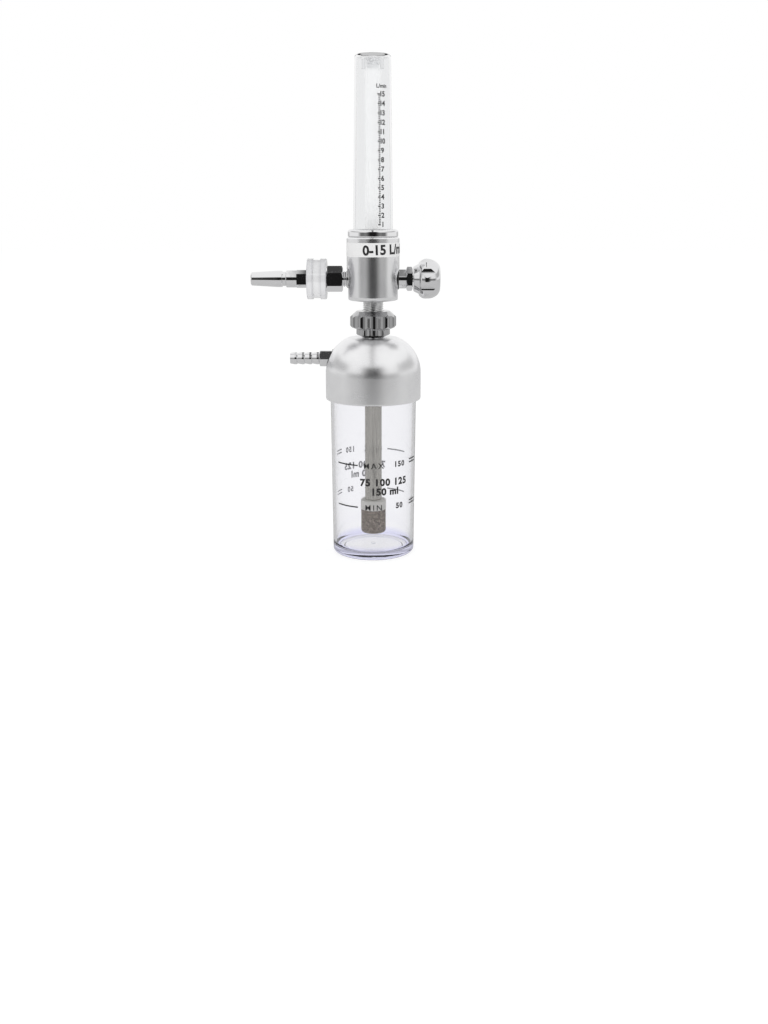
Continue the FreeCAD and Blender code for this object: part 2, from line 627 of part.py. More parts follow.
def hand_nut():
    """Fluted nut with a cone on its top and a narrower tier with short flutes below."""
    ring_top = NUT_RING_Z + NUT_RING_HEIGHT
    ring_foot = NUT_RING_Z + NUT_UNDERCUT
    blank = turned_up([
        rz(STEM_RADIUS + LOOSE_GAP, NUT_BOTTOM_Z),
        rz(NUT_FOOT_RADIUS, NUT_BOTTOM_Z),
        rz(NUT_TIER_RADIUS, NUT_BOTTOM_Z + NUT_FOOT_CONE),
        rz(NUT_TIER_RADIUS, NUT_RING_Z),
        rz(NUT_RADIUS - NUT_RING_CHAMFER, ring_foot),
        rz(NUT_RADIUS, ring_foot + NUT_RING_CHAMFER),
        rz(NUT_RADIUS, ring_top - NUT_RING_CHAMFER),
        rz(NUT_RADIUS - NUT_RING_CHAMFER, ring_top),
        rz(NUT_SHOULDER_RADIUS, NUT_TOP_Z),
        rz(NUT_THREAD_BORE + NUT_MOUTH_CHAMFER, NUT_TOP_Z),
        rz(NUT_THREAD_BORE, NUT_TOP_Z - NUT_MOUTH_CHAMFER),
        rz(NUT_THREAD_BORE, NUT_LEDGE_Z),
        rz(STEM_RADIUS + LOOSE_GAP, NUT_LEDGE_Z),
    ])
    for index in range(NUT_FLUTES):
        angle = radians(NUT_PHASE - 90 + 360 / NUT_FLUTES * index)
        for outside, foot_z, top_z in (
            (NUT_RADIUS, NUT_RING_Z, NUT_TOP_Z),
            (NUT_TIER_RADIUS + TIER_FLUTE_RAISE, NUT_BOTTOM_Z, NUT_RING_Z),
        ):
            reach = outside - FLUTE_DEPTH + FLUTE_RADIUS
            foot = V(reach * cos(angle), reach * sin(angle), foot_z - OVERCUT)
            blank = blank.cut(rod(FLUTE_RADIUS, foot, V(foot.x, foot.y, top_z + OVERCUT)))
    return clean(blank)


def outlet_nipple():
    seat = STEM_NOSE_RADIUS + ORING_SECTION + STATIC_GAP
    return turned_up([
        rz(seat, NIPPLE_BOTTOM_Z),
        rz(OUTLET_THREAD_RADIUS - OUTLET_CHAMFER, NIPPLE_BOTTOM_Z),
        rz(OUTLET_THREAD_RADIUS, NIPPLE_BOTTOM_Z + OUTLET_CHAMFER),
        rz(OUTLET_THREAD_RADIUS, BODY_BOTTOM_Z),
        rz(OUTLET_SCREW_RADIUS, BODY_BOTTOM_Z),
        rz(OUTLET_SCREW_RADIUS, BODY_BOTTOM_Z + OUTLET_SCREW_LENGTH),
        rz(OUTLET_BORE, BODY_BOTTOM_Z + OUTLET_SCREW_LENGTH),
        rz(OUTLET_BORE, NIPPLE_BOTTOM_Z + OUTLET_SEAT_DEPTH),
        rz(seat, NIPPLE_BOTTOM_Z + OUTLET_SEAT_DEPTH),
    ])


def dip_tube():
    inner = SPIGOT_RADIUS + STATIC_GAP
    top = LOCKNUT_Z - STEM_END_SHOWN - FACE_GAP
    return ring(DIP_TUBE_RADIUS, inner, rz(0, DIP_TUBE_END_Z), rz(0, top))


def diffuser_cup():
    """Clear moulded holder: the dip tube enters from above, the diffuser's spigot from below."""
    socket = DIP_TUBE_RADIUS + STATIC_GAP
    hole = STONE_SPIGOT_RADIUS + STATIC_GAP
    bend = CUP_ROUND * (1 - sin(pi / 4))
    return turned_up([
        rz(hole, CUP_BOTTOM_Z),
        rz(CUP_RADIUS, CUP_BOTTOM_Z),
        rz(CUP_RADIUS, CUP_TOP_Z - CUP_ROUND),
        (rz(CUP_RADIUS - bend, CUP_TOP_Z - bend), rz(CUP_RADIUS - CUP_ROUND, CUP_TOP_Z)),
        rz(socket, CUP_TOP_Z),
        rz(socket, DIP_TUBE_END_Z),
        rz(hole, DIP_TUBE_END_Z),
    ])


def diffuser_stone():
    """Sintered plug with a blind bore and a spigot through the cup's web."""
    corner = STONE_CORNER * (1 - sin(pi / 4))
    spigot_top = CUP_BOTTOM_Z + STONE_SPIGOT_LENGTH
    bore_end = STONE_BOTTOM_Z + STONE_BORE_FLOOR
    return turned_up([
        rz(0, STONE_BOTTOM_Z),
        rz(STONE_RADIUS - STONE_CORNER, STONE_BOTTOM_Z),
        (rz(STONE_RADIUS - corner, STONE_BOTTOM_Z + corner),
         rz(STONE_RADIUS, STONE_BOTTOM_Z + STONE_CORNER)),
        rz(STONE_RADIUS, CUP_BOTTOM_Z),
        rz(STONE_SPIGOT_RADIUS, CUP_BOTTOM_Z),
        rz(STONE_SPIGOT_RADIUS, spigot_top),
        rz(STONE_BORE, spigot_top),
        rz(STONE_BORE, bore_end),
        rz(0, bore_end),
    ])


def side_flat(side):
    """What a round cutter mills off one side of the body, from the bottom up."""
    run_out = BODY_FLAT_X + FLAT_CUTTER_RADIUS
    flat_end = FLAT_TOP_Z - FLAT_CUTTER_RADIUS
    below = BODY_BOTTOM_Z - OVERCUT
    knee = FLAT_CUTTER_RADIUS * sin(pi / 4)
    start = V(side * BODY_FLAT_X, -BODY_RADIUS, below)
    turn = V(side * BODY_FLAT_X, -BODY_RADIUS, flat_end)
    middle = V(side * (run_out - knee), -BODY_RADIUS, flat_end + knee)
    top = V(side * run_out, -BODY_RADIUS, FLAT_TOP_Z)
    corner = V(side * run_out, -BODY_RADIUS, below)
    edges = [
        Part.LineSegment(start, turn).toShape(),
        Part.Arc(turn, middle, top).toShape(),
        Part.LineSegment(top, corner).toShape(),
        Part.LineSegment(corner, start).toShape(),
    ]
    return Part.Face(Part.Wire(edges)).extrude(V(0, 2 * BODY_RADIUS, 0))


def flowmeter_body():
    """Turned block with side flats, a pocket for the tubes, three ports and their gas ways."""
    round_point = BODY_CORNER * (1 - sin(pi / 4))
    block = turned_up([
        rz(0, BODY_BOTTOM_Z),
        rz(BODY_RADIUS - BODY_CORNER, BODY_BOTTOM_Z),
        (rz(BODY_RADIUS - round_point, BODY_BOTTOM_Z + round_point),
         rz(BODY_RADIUS, BODY_BOTTOM_Z + BODY_CORNER)),
        rz(BODY_RADIUS, BODY_TOP_Z - BODY_TOP_CHAMFER),
        rz(BODY_RADIUS - BODY_TOP_CHAMFER, BODY_TOP_Z),
        rz(0, BODY_TOP_Z),
    ])
    for side in (-1, 1):
        block = block.cut(side_flat(side))
    plenum_z = POCKET_Z - SEAT_SCREW_LENGTH - PLENUM_DEPTH
    outlet_end = BODY_BOTTOM_Z + OUTLET_SCREW_LENGTH
    inlet_end = -BODY_FLAT_X + INLET_THREAD_LENGTH
    spot_end = V(2 * BODY_RADIUS, 0, PORT_Z)
    cuts = [
        rod(INLET_WASHER_RADIUS + LOOSE_GAP, V(-BODY_FLAT_X, 0, PORT_Z), V(-2 * BODY_RADIUS, 0, PORT_Z)),
        rod(BONNET_SEAL_RADIUS + LOOSE_GAP, V(BODY_FLAT_X, 0, PORT_Z), spot_end),
        rod(POCKET_RADIUS, rz(0, POCKET_Z), rz(0, BODY_TOP_Z + OVERCUT)),
        rod(SEAT_SCREW_RADIUS + STATIC_GAP, rz(0, plenum_z), rz(0, POCKET_Z)),
        rod(OUTLET_SCREW_RADIUS + STATIC_GAP, rz(0, BODY_BOTTOM_Z - OVERCUT), rz(0, outlet_end)),
        rod(INLET_THREAD_RADIUS + STATIC_GAP, V(-2 * BODY_RADIUS, 0, PORT_Z), V(inlet_end, 0, PORT_Z)),
        rod(BONNET_THREAD_RADIUS + STATIC_GAP, V(BONNET_INNER_X, 0, PORT_Z), spot_end),
        rod(CHAMBER_RADIUS, V(ORIFICE_X, 0, PORT_Z), V(BONNET_INNER_X, 0, PORT_Z)),
        rod(ORIFICE_RADIUS, V(DOWNWARD_WAY_X, 0, PORT_Z), V(ORIFICE_X, 0, PORT_Z)),
        rod(GAS_WAY, V(inlet_end, 0, PORT_Z), V(UPWARD_WAY_X, 0, PORT_Z)),
        rod(GAS_WAY, V(UPWARD_WAY_X, 0, PORT_Z), V(UPWARD_WAY_X, 0, plenum_z)),
        rod(GAS_WAY, V(DOWNWARD_WAY_X, 0, outlet_end), V(DOWNWARD_WAY_X, 0, PORT_Z)),
        rod(RETURN_WAY, V(RETURN_WAY_X, 0, PORT_Z), V(RETURN_WAY_X, 0, POCKET_Z)),
    ]
    for cut in cuts:
        block = block.cut(cut)
    return clean(block)


def gas_label():
    """Thin printed band round the front of the body."""
    outer = BODY_RADIUS + LABEL_THICKNESS
    foot = V(0, 0, LABEL_BOTTOM_Z)
    height = LABEL_TOP_Z - LABEL_BOTTOM_Z
    sector = Part.makeCylinder(outer, height, foot, UP, LABEL_SPAN)
    sector = sector.cut(Part.makeCylinder(BODY_RADIUS, height, foot, UP))
    sector.rotate(V(0, 0, 0), UP, LABEL_CENTRE - LABEL_SPAN / 2)
    return clean(sector)


def cover_outside(height):
    """Radius of the cover tube's tapered outside at a height."""
    share = (height - FLANGE_Z) / (COVER_TOP_Z - FLANGE_Z)
    return COVER_FOOT_RADIUS + (COVER_TOP_RADIUS - COVER_FOOT_RADIUS) * share


def tube_collar():
    """Chrome ring whose screwed skirt holds the cover tube's flange down."""
    hole = COVER_FOOT_RADIUS + STATIC_GAP
    skirt = hole + COLLAR_SKIRT_WALL
    top = BODY_TOP_Z + COLLAR_HEIGHT
    bend = COLLAR_ROUND * (1 - sin(pi / 4))
    low_bend = COLLAR_FOOT_ROUND * (1 - sin(pi / 4))
    return turned_up([
        rz(hole, COLLAR_SKIRT_Z),
        rz(skirt, COLLAR_SKIRT_Z),
        rz(skirt, BODY_TOP_Z),
        rz(COLLAR_RADIUS - COLLAR_FOOT_ROUND, BODY_TOP_Z),
        (rz(COLLAR_RADIUS - low_bend, BODY_TOP_Z + low_bend),
         rz(COLLAR_RADIUS, BODY_TOP_Z + COLLAR_FOOT_ROUND)),
        rz(COLLAR_RADIUS, top - COLLAR_ROUND),
        (rz(COLLAR_RADIUS - bend, top - bend), rz(COLLAR_RADIUS - COLLAR_ROUND, top)),
        rz(hole + COLLAR_MOUTH_CHAMFER, top),
        rz(hole, top - COLLAR_MOUTH_CHAMFER),
    ])


def cover_tube():
    """Clear tube closed at the top, with a foot flange and a slotted socket in its cap."""
    flange = COVER_FOOT_RADIUS + COLLAR_SKIRT_WALL
    top_angle = COVER_ROUND * (1 - sin(pi / 4))
    inner_foot = COVER_FOOT_RADIUS - COVER_WALL
    inner_top = COVER_TOP_RADIUS - COVER_WALL
    flange_top = COLLAR_SKIRT_Z
    tube = turned_up([
        rz(inner_foot, FLANGE_Z),
        rz(flange, FLANGE_Z),
        rz(flange, flange_top),
        rz(cover_outside(flange_top), flange_top),
        rz(cover_outside(COVER_TOP_Z - COVER_ROUND), COVER_TOP_Z - COVER_ROUND),
        (rz(COVER_TOP_RADIUS - top_angle, COVER_TOP_Z - top_angle),
         rz(COVER_TOP_RADIUS - COVER_ROUND, COVER_TOP_Z)),
        rz(0, COVER_TOP_Z),
        rz(0, CAP_INNER_Z),
        rz(inner_top, CAP_INNER_Z),
    ])
    socket_inner = METERING_RADIUS + STATIC_GAP
    socket_foot = CAP_INNER_Z - SOCKET_DEPTH
    socket = ring(socket_inner + SOCKET_WALL, socket_inner, rz(0, socket_foot),
                  rz(0, CAP_INNER_Z + SOCKET_ROOT))
    reach = socket_inner + SOCKET_WALL + OVERCUT
    for index in range(SOCKET_SLOTS):
        slot = Part.makeBox(reach, SOCKET_SLOT_WIDTH, SOCKET_DEPTH - TUBE_SEAL_THICKNESS,
                            V(0, -SOCKET_SLOT_WIDTH / 2, socket_foot))
        slot.rotate(V(0, 0, 0), UP, SOCKET_TURN + 360 / SOCKET_SLOTS * index)
        socket = socket.cut(slot)
    return clean(tube.fuse(socket).removeSplitter())


def cover_tube_seal():
    """Square-cut ring between the foot flange and the floor of the pocket."""
    outer = COVER_FOOT_RADIUS + COLLAR_SKIRT_WALL
    return ring(outer, COVER_FOOT_RADIUS - COVER_WALL, rz(0, POCKET_Z), rz(0, FLANGE_Z))


def metering_tube():
    """Clear tube with a bore that widens upwards and a straight top for the ball stop."""
    stop_z = METERING_TOP_Z - STOP_HEIGHT
    notch = BORE_TOP + STOP_RIB / 2
    return turned_up([
        rz(BORE_BOTTOM, METERING_BOTTOM_Z),
        rz(METERING_RADIUS, METERING_BOTTOM_Z),
        rz(METERING_RADIUS, METERING_TOP_Z),
        rz(notch, METERING_TOP_Z),
        rz(notch, stop_z),
        rz(BORE_TOP, stop_z),
    ])


def tube_seat():
    """Brass seat: screwed shank, round body, socket for the tube and a bore under the ball."""
    socket = METERING_RADIUS + STATIC_GAP
    return turned_up([
        rz(SEAT_BORE, POCKET_Z - SEAT_SCREW_LENGTH),
        rz(SEAT_SCREW_RADIUS, POCKET_Z - SEAT_SCREW_LENGTH),
        rz(SEAT_SCREW_RADIUS, POCKET_Z),
        rz(SEAT_BODY_RADIUS, POCKET_Z),
        rz(SEAT_BODY_RADIUS, SEAT_TOP_Z - EDGE_CHAMFER),
        rz(SEAT_BODY_RADIUS - EDGE_CHAMFER, SEAT_TOP_Z),
        rz(socket, SEAT_TOP_Z),
        rz(socket, TUBE_SEAL_Z),
        rz(SEAT_BORE, TUBE_SEAL_Z),
    ])


def lower_tube_seal():
    return ring(METERING_RADIUS, TUBE_SEAL_BORE, rz(0, TUBE_SEAL_Z), rz(0, METERING_BOTTOM_Z))


def upper_tube_seal():
    return ring(METERING_RADIUS, TUBE_SEAL_BORE, rz(0, METERING_TOP_Z), rz(0, CAP_INNER_Z))


def ball_stop():
    """Star-shaped plug that keeps the ball in and lets the gas out."""
    bottom = METERING_TOP_Z - STOP_HEIGHT
    reach = BORE_TOP + STOP_RIB / 2 - STATIC_GAP
    star = rod(STOP_HUB, rz(0, bottom), rz(0, METERING_TOP_Z))
    for index in range(STOP_RIBS):
        rib = Part.makeBox(reach, STOP_RIB, STOP_HEIGHT, V(0, -STOP_RIB / 2, bottom))
        rib.rotate(V(0, 0, 0), UP, 360 / STOP_RIBS * index)
        star = star.fuse(rib)
    bound = rod(reach, rz(0, bottom), rz(0, METERING_TOP_Z))
    return clean(star.common(bound).removeSplitter())


def float_ball():
    return Part.makeSphere(BALL_RADIUS, rz(0, BALL_REST_Z))


def inlet_washer():
    return ring(INLET_WASHER_RADIUS, INLET_THREAD_RADIUS + STATIC_GAP,
                V(-BODY_FLAT_X, 0, PORT_Z), V(INLET_FACE_X, 0, PORT_Z))


def inlet_adaptor():
    """Hex with a beaded neck: its thread enters the body, the probe is screwed into the hex."""
    bead = NECK_LENGTH / (2 * NECK_BEADS)
    thread_end = -BODY_FLAT_X + INLET_THREAD_LENGTH - ADAPTOR_THREAD_ROOM
    socket = PROBE_SHANK_RADIUS + STATIC_GAP
    socket_end = ADAPTOR_END_X + PROBE_THREAD_LENGTH + FILTER_PROBE_GAP
    points = [
        xr(thread_end, GAS_WAY),
        xr(thread_end, INLET_THREAD_RADIUS),
        xr(INLET_FACE_X, INLET_THREAD_RADIUS),
    ]
    for index in range(NECK_BEADS):
        start = INLET_FACE_X - 2 * index * bead
        points.append(xr(start, NECK_RADIUS if index else INLET_THREAD_RADIUS))
        points.append((xr(start - bead / 2, BEAD_RADIUS), xr(start - bead, NECK_RADIUS)))
        points.append(xr(start - 2 * bead, NECK_RADIUS))
    points += [
        xr(HEX_FACE_X - NECK_ROOT, NECK_RADIUS),
        xr(HEX_FACE_X - NECK_ROOT, GAS_WAY),
    ]
    neck = turned_across(points)
    bar = hexagon(ADAPTOR_FLATS, V(HEX_FACE_X, 0, PORT_Z), V(ADAPTOR_END_X, 0, PORT_Z))
    bar = bar.cut(rod(GAS_WAY, V(0, 0, PORT_Z), V(ADAPTOR_END_X, 0, PORT_Z)))
    solid = neck.fuse(bar)
    filter_end = socket_end + FILTER_LENGTH
    solid = solid.cut(rod(socket, V(ADAPTOR_END_X, 0, PORT_Z), V(socket_end, 0, PORT_Z)))
    solid = solid.cut(rod(ADAPTOR_BORE, V(socket_end, 0, PORT_Z), V(filter_end, 0, PORT_Z)))
    return clean(solid.removeSplitter())


def inlet_filter():
    """Sintered plug in the bore of the adaptor, held by the probe's end."""
    start = ADAPTOR_END_X + PROBE_THREAD_LENGTH + FILTER_PROBE_GAP
    end = start + FILTER_LENGTH
    plug = rod(ADAPTOR_BORE - STATIC_GAP, V(start, 0, PORT_Z), V(end, 0, PORT_Z))
    well = Part.makeCone(FILTER_WELL_RADIUS, FILTER_WELL_END_RADIUS, FILTER_WELL_DEPTH,
                         V(start, 0, PORT_Z), RIGHT)
    return clean(plug.cut(well))


def index_collar():
    """White collar with two flanges, a shallow waist and a keying notch top and bottom."""
    hole = PROBE_SHANK_RADIUS + STATIC_GAP
    start = ADAPTOR_END_X
    waist = INDEX_RADIUS - INDEX_WAIST
    edge = INDEX_EDGE
    collar = turned_across([
        xr(start, hole),
        xr(start, INDEX_RADIUS - edge),
        xr(start - edge, INDEX_RADIUS),
        xr(start - INDEX_FLANGE, INDEX_RADIUS),
        xr(start - INDEX_FLANGE, waist),
        xr(INDEX_END_X + INDEX_FLANGE, waist),
        xr(INDEX_END_X + INDEX_FLANGE, INDEX_RADIUS),
        xr(INDEX_END_X + edge, INDEX_RADIUS),
        xr(INDEX_END_X, INDEX_RADIUS - edge),
        xr(INDEX_END_X, hole),
    ])
    for side in (-1, 1):
        height = PORT_Z + side * (INDEX_RADIUS + INDEX_NOTCH_RISE)
        notch = rod(INDEX_NOTCH / 2, V(start + OVERCUT, 0, height),
                    V(INDEX_END_X - OVERCUT, 0, height))
        collar = collar.cut(notch)
    return clean(collar)


def probe():
    """Turned probe: threaded shank, collar with two flats, latch groove and tapered nose."""
    shank_end = ADAPTOR_END_X + PROBE_THREAD_LENGTH
    flat_end = INDEX_END_X - PROBE_FLAT_LENGTH
    groove_start = INDEX_END_X - PROBE_BODY_LENGTH
    groove_end = groove_start - PROBE_GROOVE_LENGTH
    land_end = groove_end - PROBE_LAND_LENGTH
    tip = land_end - PROBE_NOSE_LENGTH
    solid = turned_across([
        xr(shank_end, PROBE_BORE),
        xr(shank_end, PROBE_SHANK_RADIUS),
        xr(INDEX_END_X, PROBE_SHANK_RADIUS),
        xr(INDEX_END_X, PROBE_FLAT_RADIUS),
        xr(flat_end, PROBE_FLAT_RADIUS),
        xr(flat_end, PROBE_RADIUS),
        xr(groove_start + PROBE_GROOVE_SLOPE, PROBE_RADIUS),
        xr(groove_start, PROBE_GROOVE_RADIUS),
        xr(groove_end + PROBE_GROOVE_SLOPE, PROBE_GROOVE_RADIUS),
        xr(groove_end, PROBE_LAND_RADIUS),
        xr(land_end, PROBE_LAND_RADIUS),
        xr(tip + PROBE_TIP_CHAMFER, PROBE_TIP_RADIUS),
        xr(tip, PROBE_TIP_RADIUS - PROBE_TIP_CHAMFER),
        xr(tip, PROBE_BORE + PROBE_MOUTH_CHAMFER),
        xr(tip + PROBE_MOUTH_CHAMFER, PROBE_BORE),
    ])
    for side in (-1, 1):
        foot_y = side * (PROBE_FLAT_RADIUS - PROBE_FLAT_DEPTH)
        low_y = min(foot_y, foot_y + side * PROBE_RADIUS)
        flat = Part.makeBox(PROBE_FLAT_LENGTH, PROBE_RADIUS, 2 * PROBE_FLAT_RADIUS,
                            V(flat_end, low_y, PORT_Z - PROBE_FLAT_RADIUS))
        solid = solid.cut(flat)
    return clean(solid)


def bonnet_seal():
    return ring(BONNET_SEAL_RADIUS, BONNET_THREAD_RADIUS + STATIC_GAP,
                V(BODY_FLAT_X, 0, PORT_Z), V(BONNET_FACE_X, 0, PORT_Z))


def valve_bonnet():
    """Screwed bonnet: carries the stem's thread inside and the gland at its outer end."""
    thread = STEM_SCREW_RADIUS + RUNNING_GAP
    packing = PACKING_RADIUS + STATIC_GAP
    return turned_across([
        xr(BONNET_INNER_X, thread),
        xr(BONNET_INNER_X, BONNET_THREAD_RADIUS),
        xr(BONNET_FACE_X, BONNET_THREAD_RADIUS),
        xr(BONNET_FACE_X, BONNET_RADIUS),
        xr(BONNET_END_X - EDGE_CHAMFER, BONNET_RADIUS),
        xr(BONNET_END_X, BONNET_RADIUS - EDGE_CHAMFER),
        xr(BONNET_END_X, packing),
        xr(PACKING_X, packing),
        xr(PACKING_X, thread),
    ])


def stem_packing():
    return ring(PACKING_RADIUS, SPINDLE_RADIUS + RUNNING_GAP,
                V(PACKING_X, 0, PORT_Z), V(PACKING_X + PACKING_LENGTH, 0, PORT_Z))


def gland_nut():
    """Hex nut with a short skirt that presses the packing."""
    hole = SPINDLE_RADIUS + RUNNING_GAP
    bar = hexagon(GLAND_FLATS, V(BONNET_END_X, 0, PORT_Z), V(GLAND_END_X, 0, PORT_Z))
    skirt = rod(PACKING_RADIUS, V(BONNET_END_X - GLAND_SKIRT_LENGTH, 0, PORT_Z),
                V(BONNET_END_X + GLAND_SKIRT_OVERLAP, 0, PORT_Z))
    nut = bar.fuse(skirt)
    nut = nut.cut(rod(hole, V(BONNET_INNER_X, 0, PORT_Z), V(KNOB_X, 0, PORT_Z)))
    return clean(nut.removeSplitter())


def needle_tip_x():
    """Tip of the closed needle: its cone stops just short of the orifice's edge."""
    slope = (NEEDLE_RADIUS - NEEDLE_TIP_RADIUS) / NEEDLE_CONE_LENGTH
    return ORIFICE_X + NEEDLE_GAP - (ORIFICE_RADIUS - NEEDLE_TIP_RADIUS) / slope


def stem_end_x():
    """Outer end of the stem, inside the knob."""
    return KNOB_END_X - KNOB_FACE_RECESS - KNOB_SCREW_HEAD_HEIGHT - KNOB_WEB


def valve_stem():
    """Needle, groove for its ring, screw and spindle, turned from one bar."""
    tip = needle_tip_x()
    screw_end = STEM_SCREW_X + STEM_SCREW_LENGTH
    stem = turned_across([
        xr(tip, 0),
        xr(tip, NEEDLE_TIP_RADIUS),
        xr(tip + NEEDLE_CONE_LENGTH, NEEDLE_RADIUS),
        xr(STEM_SCREW_X, NEEDLE_RADIUS),
        xr(STEM_SCREW_X, STEM_SCREW_RADIUS),
        xr(screw_end, STEM_SCREW_RADIUS),
        xr(screw_end, SPINDLE_RADIUS),
        xr(stem_end_x(), SPINDLE_RADIUS),
        xr(stem_end_x(), 0),
    ])
    groove = torus(V(ORING_X, 0, PORT_Z), RIGHT, SPINDLE_RADIUS, ORING_SECTION)
    floor = stem_end_x() - KNOB_SCREW_LENGTH - TAPPED_ROOM
    hole = rod(KNOB_SCREW_RADIUS + STATIC_GAP, V(floor, 0, PORT_Z), V(stem_end_x(), 0, PORT_Z))
    return clean(stem.cut(groove).cut(hole))


def stem_oring():
    return torus(V(ORING_X, 0, PORT_Z), RIGHT, SPINDLE_RADIUS, ORING_SECTION)


def lobe_point(distance, turn, x):
    """A point round the axis of the ports, by its distance and its turn from the first lobe."""
    angle = radians(KNOB_PHASE + turn)
    return V(x, distance * sin(angle), PORT_Z + distance * cos(angle))


def lobed_bar(start, end):
    """A bar with round lobes that meet in narrow grooves."""
    step = 360 / KNOB_LOBES
    half = pi / KNOB_LOBES
    crest = KNOB_RADIUS + KNOB_CREST_CUT - KNOB_LOBE_RADIUS
    touch = KNOB_LOBE_RADIUS + KNOB_GROOVE_RADIUS
    groove = crest * cos(half) + sqrt(touch ** 2 - (crest * sin(half)) ** 2)
    edges = []
    for index in range(KNOB_LOBES):
        middle = index * step
        centre = lobe_point(crest, middle, start)
        meets = []
        for side in (-0.5, 0.5):
            hollow = lobe_point(groove, middle + side * step, start)
            meets.append(centre + (hollow - centre) * (KNOB_LOBE_RADIUS / touch))
        next_centre = lobe_point(crest, middle + step, start)
        after = next_centre + (hollow - next_centre) * (KNOB_LOBE_RADIUS / touch)
        top = lobe_point(crest + KNOB_LOBE_RADIUS, middle, start)
        bottom = lobe_point(groove - KNOB_GROOVE_RADIUS, middle + 0.5 * step, start)
        edges.append(Part.Arc(meets[0], top, meets[1]).toShape())
        edges.append(Part.Arc(meets[1], bottom, after).toShape())
    return Part.Face(Part.Wire(edges)).extrude(V(end - start, 0, 0))


def barrel_arc(centre_x, centre_r, radius, start_angle, end_angle):
    """Middle and end of a round stretch of the knob's outline, by its angles from the crest."""
    middle = radians((start_angle + end_angle) / 2)
    last = radians(end_angle)
    return (xr(centre_x + radius * sin(middle), centre_r + radius * cos(middle)),
            xr(centre_x + radius * sin(last), centre_r + radius * cos(last)))


def control_knob():
    """Barrel-shaped knob with round lobes, a tapered hub and a dished face."""
    grip = KNOB_X + KNOB_HUB_LENGTH
    bore = SPINDLE_RADIUS + STATIC_GAP
    head = KNOB_SCREW_HEAD + STATIC_GAP
    face = KNOB_END_X - KNOB_FACE_RECESS
    head_seat = face - KNOB_SCREW_HEAD_HEIGHT
    crest_x = grip + KNOB_CREST_PLACE
    rise = KNOB_RADIUS - KNOB_SHOULDER_RADIUS
    inner = (KNOB_CREST_PLACE ** 2 + rise ** 2) / (2 * rise)
    inner_angle = -degrees(asin(KNOB_CREST_PLACE / inner))
    share = sin(radians(KNOB_BARREL_ANGLE))
    outer = (KNOB_END_X - crest_x - KNOB_BARREL_RADIUS * share) / (1 - share)
    outer_x = KNOB_END_X - outer
    long_centre = KNOB_RADIUS - KNOB_BARREL_RADIUS
    rim = long_centre + (KNOB_BARREL_RADIUS - outer) * cos(radians(KNOB_BARREL_ANGLE))
    hub = turned_across([
        xr(KNOB_X, bore),
        xr(KNOB_X, KNOB_HUB_RADIUS - KNOB_HUB_CHAMFER),
        xr(KNOB_X + KNOB_HUB_CHAMFER, KNOB_HUB_RADIUS),
        xr(grip, KNOB_HUB_FLARE),
        xr(grip + KNOB_HUB_ROOT, KNOB_HUB_FLARE),
        xr(grip + KNOB_HUB_ROOT, bore),
    ])
    barrel = turned_across([
        xr(grip, bore),
        xr(grip, KNOB_SHOULDER_RADIUS),
        barrel_arc(crest_x, KNOB_RADIUS - inner, inner, inner_angle, 0),
        barrel_arc(crest_x, long_centre, KNOB_BARREL_RADIUS, 0, KNOB_BARREL_ANGLE),
        barrel_arc(outer_x, rim, outer, KNOB_BARREL_ANGLE, 90),
        xr(KNOB_END_X, rim - KNOB_FACE_RIM),
        xr(face, rim - KNOB_FACE_RIM - KNOB_FACE_CHAMFER),
        xr(face, head),
        xr(head_seat, head),
        xr(head_seat, KNOB_SCREW_RADIUS + STATIC_GAP),
        xr(stem_end_x(), KNOB_SCREW_RADIUS + STATIC_GAP),
        xr(stem_end_x(), bore),
    ])
    grip_shape = barrel.common(lobed_bar(grip - OVERCUT, KNOB_END_X + OVERCUT))
    return clean(hub.fuse(grip_shape).removeSplitter())


def knob_screw():
    """Cheese-head screw with a hexagon socket."""
    seat = KNOB_END_X - KNOB_FACE_RECESS - KNOB_SCREW_HEAD_HEIGHT
    top = seat + KNOB_SCREW_HEAD_HEIGHT - SCREW_HEAD_SINK
    screw = turned_across([
        xr(stem_end_x() - KNOB_SCREW_LENGTH, 0),
        xr(stem_end_x() - KNOB_SCREW_LENGTH, KNOB_SCREW_RADIUS),
        xr(seat, KNOB_SCREW_RADIUS),
        xr(seat, KNOB_SCREW_HEAD),
        xr(top, KNOB_SCREW_HEAD),
        xr(top, 0),
    ])
    floor = V(top - KNOB_SCREW_SOCKET_DEPTH, 0, PORT_Z)
    socket = hexagon(KNOB_SCREW_SOCKET, floor, V(KNOB_END_X, 0, PORT_Z), OVERCUT)
    return clean(screw.cut(socket))


PIECES = [
    flowmeter_body, gas_label, tube_collar, cover_tube, cover_tube_seal, metering_tube, tube_seat,
    lower_tube_seal, upper_tube_seal, ball_stop, float_ball, probe, index_collar, inlet_adaptor,
    inlet_washer, inlet_filter, valve_bonnet, bonnet_seal, gland_nut, stem_packing, stem_oring,
    valve_stem, control_knob, knob_screw, outlet_nipple, hand_nut, inlet_stem, nose_seal,
    humidifier_lid, stem_washer, stem_locknut, dip_tube, diffuser_cup, diffuser_stone, hose_barb,
    barb_washer, bottle_gasket, bottle,
]

os.makedirs("parts", exist_ok=True)
for piece in PIECES:
    shape = piece()
    shape.exportStep("parts/" + piece.__name__ + ".step")
    box = shape.BoundBox
    print(piece.__name__, len(shape.Solids), shape.isValid(), round(shape.Volume, 2),
          round(box.XMin, 2), round(box.XMax, 2), round(box.ZMin, 2), round(box.ZMax, 2))
print("ball travel", round(METERING_TOP_Z - STOP_HEIGHT - BALL_RADIUS - BALL_GAP - BALL_REST_Z, 3))
